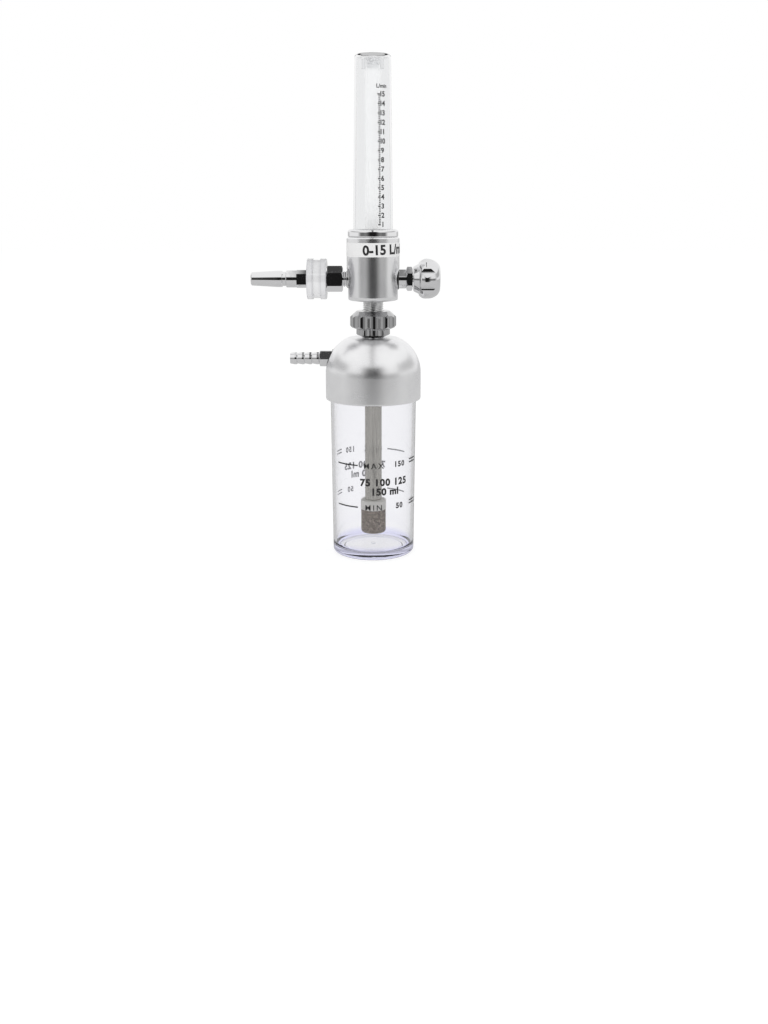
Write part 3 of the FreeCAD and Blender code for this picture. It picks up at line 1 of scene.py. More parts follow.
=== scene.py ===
# %% [markdown]
# An oxygen flowmeter on a humidifier bottle.
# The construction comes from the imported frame: every turned, moulded and screwed piece is there at its
# real size. This file gives each of them its finish, adds the print and the fine detail that a
# machinist would leave to the last, and sets up the studio.

# %% Load the frame
import json
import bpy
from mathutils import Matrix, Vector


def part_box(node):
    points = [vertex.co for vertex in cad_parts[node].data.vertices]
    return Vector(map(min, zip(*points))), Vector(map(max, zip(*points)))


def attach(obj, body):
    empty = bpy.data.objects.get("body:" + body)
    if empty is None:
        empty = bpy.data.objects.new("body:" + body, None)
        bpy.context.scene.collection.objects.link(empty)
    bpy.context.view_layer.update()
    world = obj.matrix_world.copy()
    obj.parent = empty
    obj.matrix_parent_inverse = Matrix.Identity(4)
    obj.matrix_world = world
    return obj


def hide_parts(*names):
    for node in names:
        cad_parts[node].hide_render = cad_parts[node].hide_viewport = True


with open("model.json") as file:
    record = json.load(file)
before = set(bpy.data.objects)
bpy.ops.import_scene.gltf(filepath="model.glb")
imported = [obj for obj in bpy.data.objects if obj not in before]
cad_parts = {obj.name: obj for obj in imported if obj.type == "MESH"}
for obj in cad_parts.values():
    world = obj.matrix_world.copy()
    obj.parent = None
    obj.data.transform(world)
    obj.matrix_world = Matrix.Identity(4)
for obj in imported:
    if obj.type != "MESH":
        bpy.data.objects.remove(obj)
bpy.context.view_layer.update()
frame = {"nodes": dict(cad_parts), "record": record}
print("nodes:", len(frame["nodes"]))

# %% [markdown]
# Lengths are in metres, as in the frame. The small ones are written as a number of millimetres.

# %% Tools and units
from math import atan2, cos, degrees, pi, radians, sin, sqrt

import bmesh
import bpy
from mathutils import Matrix, Vector

MM = 0.001
nodes = frame["nodes"]

# %% [markdown]
# Materials are node trees. Sums on sockets read badly as lists of nodes, so a small class wraps a
# socket and lets shader maths be written as plain expressions.

# %% Sockets as numbers


class Wire:
    """One socket on a board of nodes, on which sums can be written."""

    def __init__(self, board, socket):
        self.board = board
        self.socket = socket

    def maths(self, operation, first, second=0.0):
        return self.board.add("ShaderNodeMath", {0: first, 1: second}, operation=operation)

    def __add__(self, other):
        return self.maths("ADD", self, other)

    def __radd__(self, other):
        return self.maths("ADD", other, self)

    def __sub__(self, other):
        return self.maths("SUBTRACT", self, other)

    def __rsub__(self, other):
        return self.maths("SUBTRACT", other, self)

    def __mul__(self, other):
        return self.maths("MULTIPLY", self, other)

    def __rmul__(self, other):
        return self.maths("MULTIPLY", other, self)

    def __pow__(self, other):
        return self.maths("POWER", self, other)

    def abs(self):
        return self.maths("ABSOLUTE", self)

    def at_most(self, other):
        return self.maths("MINIMUM", self, other)

    def at_least(self, other):
        return self.maths("MAXIMUM", self, other)

    def step(self, low, high):
        """Rises smoothly from 0 to 1 between two values."""
        sockets = {"Value": self, "From Min": low, "From Max": high}
        return self.board.add("ShaderNodeMapRange", sockets, interpolation_type="SMOOTHSTEP")


def within(value, low, high, edge):
    """1 between two values, with soft edges."""
    return value.step(low - edge, low + edge) * (1.0 - value.step(high - edge, high + edge))


def between(share, first, second):
    """The first value where the share is 0, and the second where it is 1."""
    return first + share * (second - first)


def from_axis(x, y):
    """How far a point is from the upright axis that the turned pieces share."""
    return (x * x + y * y) ** 0.5


# %% [markdown]
# Every other node comes from one method, which takes the node's type, its settings and what its
# sockets get. A finish is a board of nodes round one Principled shader.

# %% Boards of nodes


def socket_name(word):
    """The name of a shader's socket, from a keyword such as coat_ior."""
    return word.replace("_", " ").title().replace("Ior", "IOR")


class Board:
    """A node tree, emptied, to which nodes are added."""

    def __init__(self, tree):
        self.tree = tree
        tree.nodes.clear()

    def node(self, kind, sockets=None, **settings):
        """Adds a node. Its settings come first, and then its sockets get their values or wires."""
        node = self.tree.nodes.new(kind)
        for key, value in settings.items():
            setattr(node, key, value)
        for key, value in (sockets or {}).items():
            if isinstance(value, Wire):
                self.tree.links.new(value.socket, node.inputs[key])
            else:
                node.inputs[key].default_value = value
        return node

    def add(self, kind, sockets=None, out=0, **settings):
        """Adds a node and gives one of its outputs."""
        return Wire(self, self.node(kind, sockets, **settings).outputs[out])

    def ray(self, question):
        """What the light path says of a ray, such as Is Camera Ray."""
        return self.add("ShaderNodeLightPath", out=question)

    def split(self, vector):
        """The three numbers of a vector."""
        node = self.node("ShaderNodeSeparateXYZ", {0: vector})
        return [Wire(self, socket) for socket in node.outputs]


class Finish(Board):
    """A material under construction: one Principled shader and the nodes that feed it."""

    def __init__(self, name, color, **values):
        self.material = bpy.data.materials.new(name)
        self.material.use_nodes = True
        super().__init__(self.material.node_tree)
        sockets = {socket_name(key): value for key, value in values.items()}
        sockets["Base Color"] = (*color, 1.0)
        self.shader = self.node("ShaderNodeBsdfPrincipled", sockets)
        self.surface = Wire(self, self.shader.outputs[0])
        self.output = self.node("ShaderNodeOutputMaterial", {"Surface": self.surface})

    def place(self):
        """The point on the piece, in metres in the frame."""
        return self.add("ShaderNodeTexCoord", out="Object")

    def stretch(self, vector, scale):
        return self.add("ShaderNodeMapping", {"Vector": vector, "Scale": scale})

    def noise(self, vector, scale, detail):
        return self.add("ShaderNodeTexNoise", {"Vector": vector, "Scale": scale, "Detail": detail})

    def blend(self, share, first, second):
        """A colour between two colours."""
        first, second = [value if isinstance(value, Wire) else (*value, 1.0) for value in (first, second)]
        return self.add("ShaderNodeMix", {"Factor": share, 6: first, 7: second}, out=2, data_type="RGBA")

    def feed(self, **wires):
        """Links wires to the shader's sockets."""
        for key, wire in wires.items():
            self.tree.links.new(wire.socket, self.shader.inputs[socket_name(key)])
        return self

    def relief(self, height, distance, strength):
        """A bump from a height between 0 and 1, with the depth of a full bump in metres."""
        sockets = {"Height": height, "Distance": distance, "Strength": strength}
        return self.feed(normal=self.add("ShaderNodeBump", sockets))

    def mixed_with(self, share, other):
        """Shows another shader over a share of this one."""
        both = self.add("ShaderNodeMixShader", {0: share, 1: self.surface, 2: other})
        self.tree.links.new(both.socket, self.output.inputs["Surface"])
        return self

    def lets_lamps_through(self):
        """Shadow rays pass, so that what stands inside the clear piece is lit."""
        tint = self.shader.inputs["Base Color"].default_value
        clear = self.add("ShaderNodeBsdfTransparent", {"Color": tint})
        return self.mixed_with(self.ray("Is Shadow Ray"), clear)


# %% [markdown]
# The body and the dome are turned aluminium with a satin anodised skin. The tool leaves rings that can
# hardly be seen one by one: they stretch the highlights. Height minus radius runs steadily along such a
# turned outline, over the flat top, round the dome and down the side, so one noise along it draws the
# rings on all of them.

# %% Satin aluminium
ROUND_SHARE = 0.02      # how fast a ring changes round the piece, against along its outline


def along_turning(finish):
    """A vector that changes fast along a turned outline and slowly round it."""
    x, y, z = finish.split(finish.place())
    run = z - from_axis(x, y)
    return finish.add("ShaderNodeCombineXYZ", {"X": x * ROUND_SHARE, "Y": y * ROUND_SHARE, "Z": run})


def satin_aluminium(name, dullness):
    finish = Finish(name, (0.80, 0.80, 0.81), metallic=1.0, roughness=0.3)
    rings = finish.noise(along_turning(finish), scale=9000.0, detail=2.0)
    clouds = finish.noise(finish.place(), scale=60.0, detail=4.0)
    finish.feed(roughness=dullness + clouds * 0.06 + rings * 0.05)
    finish.feed(base_color=finish.blend(clouds.step(0.3, 0.75), (0.84, 0.84, 0.85), (0.90, 0.90, 0.905)))
    return finish.relief(rings, distance=0.004 * MM, strength=0.35).material


# %% [markdown]
# Chrome plate is almost a mirror. Two things keep it from looking like a computer's mirror: the brass
# beneath is polished by hand, so the surface swells very slightly, and fingers leave faint hazy clouds.
# The pieces that are turned by hand are the duller for it. The hand nut and the knob also get a darker
# chrome colour: a painted shade for their fluted hollows, which look darker in the light.

# %% Chrome plate


def chrome_plate(name, level, dullness):
    finish = Finish(name, (level, level, level * 1.01), metallic=1.0, roughness=0.05)
    haze = finish.noise(finish.place(), scale=220.0, detail=3.0)
    swell = finish.noise(finish.place(), scale=90.0, detail=1.0)
    finish.feed(roughness=dullness + haze.step(0.45, 0.8) * 0.07)
    return finish.relief(swell, distance=0.02 * MM, strength=0.12).material


# %% [markdown]
# The clear pieces have real walls, with an outer and an inner face, and a transmitting shader bends the
# light at each of them. The bottle has the index of acrylic, 1.49. The tube over the scale gets a much
# lower one than its plastic has: with the true index its closed top and its thin walls come out dark
# in a render, where the real ones are bright. The small mouldings inside it are only a faint haze.

# %% Clear plastics


def clear_plastic(name, color, **values):
    """A clear piece, with faint streaks along it from the mould."""
    finish = Finish(name, color, **values)
    flow = finish.noise(finish.stretch(finish.place(), (1.0, 1.0, 0.02)), scale=260.0, detail=2.0)
    return finish.relief(flow, distance=0.01 * MM, strength=0.03)


def clear_tube():
    finish = clear_plastic("clear_tube", (0.905, 0.908, 0.912), transmission_weight=1.0, ior=1.05,
                           roughness=0.05, specular_ior_level=0.12)
    return finish.lets_lamps_through().material


def clear_bottle():
    """The wall is nearly colourless. The thick foot gathers the faint violet of the plastic."""
    finish = clear_plastic("clear_bottle", (0.985, 0.985, 0.99), transmission_weight=1.0, ior=1.49,
                           roughness=0.02)
    x, y, z = finish.split(finish.place())
    foot = (1.0 - z.step(5 * MM, 11 * MM)) * from_axis(x, y).step(22 * MM, 25 * MM)
    finish.feed(base_color=finish.blend(foot, (0.948, 0.948, 0.966), (0.78, 0.78, 0.97)))
    return finish.lets_lamps_through().material


def cup_plastic():
    """A hazy moulding that shows the stone inside it only faintly."""
    return clear_plastic("cup_plastic", (0.76, 0.75, 0.71), transmission_weight=0.35, ior=1.35,
                         roughness=0.4).material


def hazy(name, color, share):
    """A thin clear moulding that is seen only by a faint haze."""
    return Finish(name, color, roughness=0.25, alpha=share).material


# %% [markdown]
# Moulded plastic, film, rubber and the bare metals of the small pieces. Each gets the grain that its
# making leaves: moulding mottle, drawn lines, sintered grains.

# %% Small finishes


def moulded(name, color, roughness, mottle, depth):
    """A moulded plastic or rubber: an even colour with a fine mottled skin."""
    finish = Finish(name, color, roughness=roughness)
    grain = finish.noise(finish.place(), mottle, detail=4.0)
    darker = tuple(0.93 * value for value in color)
    finish.feed(base_color=finish.blend(grain.step(0.35, 0.7), darker, color))
    finish.feed(roughness=roughness - 0.05 + grain * 0.1)
    return finish.relief(grain, depth, strength=0.5).material


def bare_metal(name, color, roughness, lines):
    """A turned or drawn metal, with lines that run round or along it."""
    finish = Finish(name, color, metallic=1.0, roughness=roughness)
    marks = finish.noise(finish.stretch(finish.place(), lines), scale=1.0, detail=3.0)
    finish.feed(roughness=roughness - 0.06 + marks * 0.14)
    darker = tuple(0.86 * value for value in color)
    finish.feed(base_color=finish.blend(marks.step(0.3, 0.7), darker, color))
    return finish.relief(marks, distance=0.004 * MM, strength=0.4).material


def sintered(name, color, light, grain_size, metallic=0.0):
    """Grains fused together, with a painted shade in the pores between them."""
    finish = Finish(name, color, metallic=metallic, roughness=0.8)
    sockets = {"Vector": finish.place(), "Scale": 1.0 / grain_size}
    grains = 1.0 - finish.add("ShaderNodeTexVoronoi", sockets, out="Distance")
    cloud = finish.noise(finish.place(), scale=0.3 / grain_size, detail=3.0)
    tint = finish.blend(cloud.step(0.35, 0.65), color, light)
    # painted shade: the pores between the grains are made darker
    pore_shade = tuple(0.35 * value for value in color)
    finish.feed(base_color=finish.blend(grains.step(0.25, 0.6), pore_shade, tint))
    return finish.relief(grains, distance=grain_size * 0.35, strength=0.8).material


# %% [markdown]
# The collar that keys the probe is a glossy white moulding with a flange at each end. Its thin waist and
# the middle of each flange catch more light than the corners between them, so bands along the piece paint
# that light and shade as colour, all the way round.

# %% Index collar
FLANGE = 4.2 * MM       # length of each flange
# the corners of each flange get a painted shade
RIM = 0.9 * MM          # the darker corner at each side of a flange
RIM_LIGHT = 0.6         # a flange's middle, against the waist
BAND_EDGE = 0.3 * MM    # softness of the bands


def collar_plastic():
    finish = Finish("collar_plastic", (0.8, 0.8, 0.8), roughness=0.2, coat_weight=1.0,
                    coat_roughness=0.05, coat_ior=2.0)
    low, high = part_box("index_collar")
    along = finish.split(finish.place())[0]
    waist = within(along, low.x + FLANGE, high.x - FLANGE, BAND_EDGE)
    rims = within(along, low.x + RIM, low.x + FLANGE - RIM, BAND_EDGE)
    rims = rims + within(along, high.x - FLANGE + RIM, high.x - RIM, BAND_EDGE)
    # Painted light and shade: lightest on the waist, a little darker on the middle of each flange, darkest
    # at the flange corners.
    shade = (waist + rims * RIM_LIGHT).at_most(1.0)
    finish.feed(base_color=finish.blend(shade, (0.68, 0.68, 0.70), (0.84, 0.84, 0.85)))
    return finish.material


# %% [markdown]
# Each node gets the finish that the frame's record names for it. A few pieces look different from the
# others of
# their kind and have their own: the thin ones, the ones that hands touch and that are duller for it, and
# the nut and the knob, whose darker chrome colour is a painted shade.

# %% Finishes on the pieces
materials = {
    "satin_aluminium": satin_aluminium("satin_aluminium", dullness=0.19),
    "satin_dome": satin_aluminium("satin_dome", dullness=0.23),
    "chrome_plate": chrome_plate("chrome_plate", level=0.80, dullness=0.035),
    # painted shade: the hand nut's chrome is given a darker colour, for its fluted hollows that look dark
    # in the light
    "shaded_chrome": chrome_plate("shaded_chrome", level=0.50, dullness=0.05),
    # painted shade: the knob's chrome is given a slightly darker colour
    "knob_chrome": chrome_plate("knob_chrome", level=0.75, dullness=0.045),
    "clear_tube": clear_tube(),
    "clear_bottle": clear_bottle(),
    "collar_plastic": collar_plastic(),
    "label_white": moulded("label_white", (0.86, 0.86, 0.86), roughness=0.35, mottle=1500.0,
                           depth=0.004 * MM),
    "black_rubber": moulded("black_rubber", (0.02, 0.02, 0.02), roughness=0.55, mottle=2500.0,
                            depth=0.02 * MM),
    "grey_rubber": moulded("grey_rubber", (0.30, 0.30, 0.31), roughness=0.6, mottle=2500.0,
                           depth=0.02 * MM),
    "brass_bare": bare_metal("brass_bare", (0.78, 0.60, 0.30), 0.25, lines=(200.0, 9000.0, 9000.0)),
    "sintered_bronze": sintered("sintered_bronze", (0.40, 0.26, 0.12), (0.62, 0.42, 0.2),
                                grain_size=0.3 * MM, metallic=1.0),
    "outlet_metal": bare_metal("outlet_metal", (0.80, 0.80, 0.80), 0.16, lines=(600.0, 600.0, 6000.0)),
    "steel_bright": bare_metal("steel_bright", (0.66, 0.66, 0.66), 0.18, lines=(600.0, 600.0, 6000.0)),
    "nickel_tube": bare_metal("nickel_tube", (0.55, 0.535, 0.49), 0.24, lines=(900.0, 900.0, 30.0)),
    "cup_plastic": cup_plastic(),
    "silicone": hazy("silicone", (0.85, 0.85, 0.85), share=0.30),
    "inner_tube": hazy("inner_tube", (0.84, 0.84, 0.84), share=0.18),
    "porous_plastic": sintered("porous_plastic", (0.20, 0.165, 0.135), (0.36, 0.31, 0.265),
                               grain_size=0.6 * MM),
}
OWN_FINISH = {
    "upper_tube_seal": "silicone",
    "ball_stop": "silicone",
    "metering_tube": "inner_tube",
    "valve_stem": "steel_bright",
    "hand_nut": "shaded_chrome",
    "control_knob": "knob_chrome",
    "humidifier_lid": "satin_dome",
    "index_collar": "collar_plastic",
}
for entry in frame["record"]["subparts"]:
    name = entry["node"]
    node = nodes[name]
    node.data.materials.clear()
    node.data.materials.append(materials[OWN_FINISH.get(name, entry["material_slot"])])
print("finishes:", len(materials))

# %% [markdown]
# The camera is a long lens a little above the object: the photograph looks down by about ten degrees.
# The object stands in the upper half of the frame, so the lens is shifted for that, and the camera
# isn't turned further.

# %% Camera
PHOTO_HEIGHT = 1024
FOCAL_PIXELS = 1120.0
SENSOR_MM = 36.0
CAMERA_TILT = radians(10.0)
CENTRE_ROW = 402.5      # where the lens axis meets the photograph
CAMERA_PLACE = Vector((0.0075, -0.7733, 0.243))

camera_data = bpy.data.cameras.new("camera")
camera = bpy.data.objects.new("camera", camera_data)
bpy.context.scene.collection.objects.link(camera)
camera_data.sensor_width = SENSOR_MM
camera_data.lens = SENSOR_MM * FOCAL_PIXELS / PHOTO_HEIGHT
camera_data.shift_y = (CENTRE_ROW - PHOTO_HEIGHT / 2) / PHOTO_HEIGHT
camera.location = CAMERA_PLACE
camera.rotation_euler = (pi / 2 - CAMERA_TILT, 0.0, 0.0)
bpy.context.scene.camera = camera
print("lens in mm:", round(camera_data.lens, 1))

# %% [markdown]
# The studio is a white table between two tall white panels, with white overhead and a dark slit in it.
# Polished metal shows only what surrounds it, so the room is drawn for the mirror, in degrees round the
# object from the camera and above the horizon: the dark place where the camera stands, a dim
# band at the height of the table's edge, the panels, a greyer gap over them, the slit and a grey wall
# at the back. The camera, and what it sees through clear plastic, meet plain white.

# %% What the room shows in metal
LENS_ZONE = 0.012       # the dark place where the camera stands
BESIDE_LENS = 0.20      # the dim band beside that place
LOW_BAND = 0.15         # the same band further round
TABLE_EDGE = 0.38       # just above and below that band
PANEL = 0.95
PANEL_GAP = 0.50        # between the side panels and what hangs overhead
OVERHEAD = 1.0
BACK_WALL = 0.58
SLIT = 0.26
SLIT_LEFT = 0.06        # the darker left half of the slit
FLOOR_AHEAD = 0.35      # the floor below the horizon
BEHIND_PLASTIC = 0.92   # what metal shows instead, when it is seen through clear plastic
PLASTIC_SHARE = 0.7     # and how much of that
AMBIENT = 0.80          # what surfaces other than mirrors get from the room

# Degrees round from the camera, on either side, at which one thing gives way to the next.
LENS_TO_FRONT = (10.0, 36.0)
BAND_DARKENS = (38.0, 44.0)
FRONT_TO_PANEL = (54.0, 76.0)
AHEAD_TO_BEHIND = (110.0, 140.0)
PANEL_TO_BACK = (128.0, 146.0)

# Degrees above the horizon. Where there is a third number, it is the softness of both ends.
TABLE_EDGE_BAND = (-10.0, 3.0, 2.0)
DIM_BAND = (-3.0, 3.0, 2.4)
PANEL_TO_GAP = (3.0, 8.0)
OVERHEAD_AHEAD = (22.0, 29.0)
OVERHEAD_BEHIND = (-3.0, 7.0)
SLIT_RISES = (24.0, 36.0)
FLOOR_ENDS = (-26.0, -18.0)

# Across the slit, as the part of a direction of length 1 that points to the right.
SLIT_SIDES = (-0.075, 0.028, 0.008)
SLIT_HALVES = (-0.034, -0.022)

# %% World
WHITE = (1.0, 1.0, 1.0, 1.0)

world = bpy.data.worlds.new("studio")
bpy.context.scene.world = world
world.use_nodes = True
board = Board(world.node_tree)

to_right, to_back, to_top = board.split(board.add("ShaderNodeTexCoord", out="Generated"))
side = (to_right.maths("ARCTAN2", to_right, 0.0 - to_back) * degrees(1.0)).abs()
elevation = to_top.maths("ARCSINE", to_top) * degrees(1.0)

band = between(side.step(*BAND_DARKENS), BESIDE_LENS, LOW_BAND)
front = between(within(elevation, *TABLE_EDGE_BAND), PANEL, TABLE_EDGE)
front = between(within(elevation, *DIM_BAND), front, band)
panel = between(elevation.step(*PANEL_TO_GAP), PANEL, PANEL_GAP)
level = between(side.step(*LENS_TO_FRONT), LENS_ZONE, front)
level = between(side.step(*FRONT_TO_PANEL), level, panel)
level = between(side.step(*PANEL_TO_BACK), level, BACK_WALL)

slit = within(to_right, *SLIT_SIDES) * elevation.step(*SLIT_RISES)
above = between(slit, OVERHEAD, between(to_right.step(*SLIT_HALVES), SLIT_LEFT, SLIT))
behind = side.step(*AHEAD_TO_BEHIND)
rise = elevation.step(*OVERHEAD_AHEAD) * (1.0 - behind) + elevation.step(*OVERHEAD_BEHIND) * behind
fall = 1.0 - elevation.step(*FLOOR_ENDS)
room = level * (1.0 - rise) + above * rise
room = room * (1.0 - fall) + FLOOR_AHEAD * fall
through = board.ray("Transmission Depth").at_most(1.0)
room = between(through * PLASTIC_SHARE, room, BEHIND_PLASTIC)

mirrored = board.ray("Glossy Depth").at_most(1.0)
plain = board.ray("Is Camera Ray").at_least(board.ray("Is Transmission Ray"))
strength = mirrored * room + (1.0 - mirrored) * (plain + (1.0 - plain) * AMBIENT)
background = board.add("ShaderNodeBackground", {"Color": WHITE, "Strength": strength})
board.node("ShaderNodeOutputWorld", {"Surface": background})
print("room nodes:", len(world.node_tree.nodes))

# %% [markdown]
# The lamps add direction: a little more light from the left and the right than the room gives. Mirrors
# don't show them, because what mirrors show is already drawn in the room.

# %% Lamps
LAMP_AIM = Vector((0.0, 0.0, 0.17))     # the middle of the object


def softbox(name, place, size, power):
    data = bpy.data.lights.new(name, "AREA")
    data.shape = "RECTANGLE"
    data.size, data.size_y = size
    data.energy = power
    lamp = bpy.data.objects.new(name, data)
    lamp.location = place
    lamp.rotation_euler = (LAMP_AIM - Vector(place)).to_track_quat("-Z", "Y").to_euler()
    lamp.visible_glossy = False
    lamp.visible_transmission = False
    bpy.context.scene.collection.objects.link(lamp)


softbox("softbox_left", place=(-0.8, -0.8, 0.7), size=(0.6, 0.9), power=1.8)
softbox("softbox_right", place=(0.9, -0.7, 0.6), size=(0.6, 0.9), power=1.2)
softbox("softbox_top", place=(0.0, 0.1, 1.3), size=(1.0, 1.0), power=2.0)
print("lamps:", len(bpy.data.lights))

# %% [markdown]
# The table is one large pale plane. It scatters light, so it keeps the shadow of the object, and it
# glows as well, so that it ends as white as the room behind it. Polished metal shows it darker, most of
# all along the line from the camera and at the edge below it.

# %% Table
TABLE_FRONT = -0.75
TABLE_DEPTH = 6.0
TABLE_WIDTH = 8.0
TABLE_MIDDLE = TABLE_FRONT + TABLE_DEPTH / 2
TABLE_DROP = 0.2 * MM   # below the foot of the bottle
GLOW_SHARE = 0.65       # the rest scatters light
GLOW_PLAIN = 1.20       # for the camera and through clear plastic
GLOW_IN_METAL = 0.53
GLOW_STRIP = 0.47       # along the line from the camera
GLOW_EDGE = 0.04        # at the edge of the table, below the camera
STRIP_SIDES = (-0.028, 0.040, 0.006)    # left side, right side and their softness
STRIP_END = (-0.26, -0.2)
EDGE_SIDES = (-0.16, 0.17, 0.08)
EDGE_END = (-0.74, -0.60)

bpy.ops.object.select_all(action="DESELECT")
bpy.ops.mesh.primitive_plane_add(size=1.0, location=(0, TABLE_MIDDLE, -TABLE_DROP))
table = bpy.context.object
table.name = "table"
table.scale = (TABLE_WIDTH, TABLE_DEPTH, 1.0)
bpy.ops.object.transform_apply(location=True, rotation=True, scale=True)
paint = Finish("table_paint", (0.80, 0.80, 0.80), roughness=0.9, specular_ior_level=0.0)
table_x, table_y, table_z = paint.split(paint.place())
strip = within(table_x, *STRIP_SIDES) * (1.0 - table_y.step(*STRIP_END))
edge = within(table_x, *EDGE_SIDES) * (1.0 - table_y.step(*EDGE_END))
in_metal = between(edge, between(strip, GLOW_IN_METAL, GLOW_STRIP), GLOW_EDGE)
mirrored = paint.ray("Glossy Depth").at_most(1.0)
glow = between(mirrored, GLOW_PLAIN, in_metal)
paint.mixed_with(GLOW_SHARE, paint.add("ShaderNodeEmission", {"Color": WHITE, "Strength": glow}))
table.data.materials.append(paint.material)
print("table in m:", [round(length, 2) for length in table.dimensions])

# %% [markdown]
# Print is thin ink on a curved surface. The letters are made flat, turned into a mesh and then rolled
# round the piece that carries them: a step to the right becomes an angle. An image of the print would
# be quicker, but it blurs when the camera comes near.

# %% Flat print
CAPITAL_SHARE = 0.69    # height of a capital against the size of its letters


def ink(name, color):
    finish = Finish(name, color, roughness=0.4)
    patchy = finish.noise(finish.place(), scale=3000.0, detail=2.0)
    finish.feed(roughness=0.3 + patchy * 0.2)
    return finish.material


ink_black = ink("ink_black", (0.012, 0.012, 0.013))
ink_thin = ink("ink_thin", (0.44, 0.44, 0.45))


def flat_text(words, height, bold, turn=0.0, spacing=1.0):
    """A flat mesh of letters, centred, with capitals of the stated height."""
    bpy.ops.object.select_all(action="DESELECT")
    bpy.ops.object.text_add()
    text = bpy.context.object
    text.data.body = words
    text.data.align_x = "CENTER"
    text.data.align_y = "CENTER"
    text.data.size = height / CAPITAL_SHARE
    text.data.offset = bold
    text.data.space_character = spacing
    text.data.resolution_u = 4
    bpy.ops.object.convert(target="MESH")
    flat = bpy.context.object
    flat.data.transform(Matrix.Rotation(turn, 4, "Z"))
    return flat


def flat_bar(width, height):
    bpy.ops.object.select_all(action="DESELECT")
    bpy.ops.mesh.primitive_plane_add(size=1.0)
    bar = bpy.context.object
    bar.data.transform(Matrix.Diagonal((width, height, 1.0, 1.0)))
    return bar


def joined(pieces, name):
    """One mesh from several flat ones."""
    bpy.ops.object.select_all(action="DESELECT")
    for piece in pieces:
        piece.select_set(True)
    bpy.context.view_layer.objects.active = pieces[0]
    if len(pieces) > 1:
        bpy.ops.object.join()
    whole = bpy.context.object
    whole.name = name
    return whole


def moved(piece, across, up):
    piece.data.transform(Matrix.Translation((across, up, 0.0)))
    return piece


# %% [markdown]
# A long bar has only four corners, and would cut through the tube. So the flat print is first cut into
# narrow upright strips, and then every point goes to its angle.

# %% Rolling print round a tube
INK_LIFT = 0.06 * MM
ROLL_STEP = 0.5 * MM


def rolled(piece, radius_at, azimuth, foot_z, body, print_ink=ink_black):
    """Rolls a flat print onto an upright tube, with its origin at an azimuth and a height."""
    bpy.context.view_layer.update()
    if piece.matrix_world != Matrix.Identity(4):
        piece.data.transform(piece.matrix_world)
        piece.matrix_world = Matrix.Identity(4)
    cuts = bmesh.new()
    cuts.from_mesh(piece.data)
    low = min(vert.co.x for vert in cuts.verts)
    high = max(vert.co.x for vert in cuts.verts)
    for index in range(1, int((high - low) / ROLL_STEP)):
        geometry = cuts.verts[:] + cuts.edges[:] + cuts.faces[:]
        bmesh.ops.bisect_plane(cuts, geom=geometry, plane_co=(low + index * ROLL_STEP, 0, 0),
                               plane_no=(1, 0, 0))
    for vert in cuts.verts:
        height = foot_z + vert.co.y
        radius = radius_at(height) + INK_LIFT
        angle = azimuth + vert.co.x / radius
        vert.co = Vector((radius * cos(angle), radius * sin(angle), height))
    bmesh.ops.recalc_face_normals(cuts, faces=cuts.faces)
    cuts.to_mesh(piece.data)
    cuts.free()
    piece.data.materials.clear()
    piece.data.materials.append(print_ink)
    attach(piece, body)
    print(piece.name, "faces:", len(piece.data.polygons))


# %% [markdown]
# The flow scale stands on the cover tube: a number for every litre a minute, and short ticks between.
# The tube narrows towards its top, so the print's radius follows the height.

# %% Flow scale
SCALE_LOW = 0.2300
SCALE_HIGH = 0.3150
SCALE_STEPS = 15
SCALE_AZIMUTH = radians(-62.0)
NUMBER_HEIGHT = 3.2 * MM
TICK_PARTS = 5
UNIT_HEIGHT = 2.4 * MM
UNIT_ABOVE = 5.2 * MM   # over the highest number
COVER_FOOT_RADIUS = 13.65 * MM
COVER_TOP_RADIUS = 12.1 * MM
cover_low, cover_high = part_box("cover_tube")


def cover_radius(height):
    share = (height - cover_low.z) / (cover_high.z - cover_low.z)
    return COVER_FOOT_RADIUS + (COVER_TOP_RADIUS - COVER_FOOT_RADIUS) * share


marks = []
pitch = (SCALE_HIGH - SCALE_LOW) / (SCALE_STEPS - 1)
for litres in range(1, SCALE_STEPS + 1):
    height = pitch * (litres - 1)
    number = flat_text(str(litres), NUMBER_HEIGHT, bold=0.17 * MM, spacing=0.85)
    marks.append(moved(number, across=0.5 * MM, up=height))
    marks.append(moved(flat_bar(width=1.8 * MM, height=0.9 * MM), across=-2.0 * MM, up=height))
    if litres < SCALE_STEPS:
        for part in range(1, TICK_PARTS):
            tick = flat_bar(width=1.2 * MM, height=0.7 * MM)
            marks.append(moved(tick, across=-1.7 * MM, up=height + pitch * part / TICK_PARTS))
unit = flat_text("L/min", UNIT_HEIGHT, bold=0.12 * MM)
marks.append(moved(unit, across=0.2 * MM, up=SCALE_HIGH - SCALE_LOW + UNIT_ABOVE))
rolled(joined(marks, "flow_scale"), cover_radius, SCALE_AZIMUTH, SCALE_LOW, "flowmeter")

# %% [markdown]
# The label is a white film wrapped round the top of the body. It carries the plain range of the scale,
# a little askew, as a label is that was stuck on by hand.

# %% Label print
LABEL_TEXT_HEIGHT = 6.2 * MM
LABEL_AZIMUTH = radians(-50.5)
LABEL_ASKEW = radians(2.0)
label_low, label_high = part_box("gas_label")


def label_radius(height):
    """The label is a straight cylinder, so its radius is the same at every height."""
    return -label_low.y


label_words = flat_text("0-15 L/min", LABEL_TEXT_HEIGHT, bold=0.32 * MM, turn=LABEL_ASKEW)
rolled(joined([label_words], "label_range"), label_radius, LABEL_AZIMUTH,
       (label_low.z + label_high.z) / 2, "flowmeter")

# %% [markdown]
# The bottle carries two level lines, each broken by a word, and a small table of volumes between them.
# They are on the front and on the back. The ink on the back is thin and pale, seen through two walls.

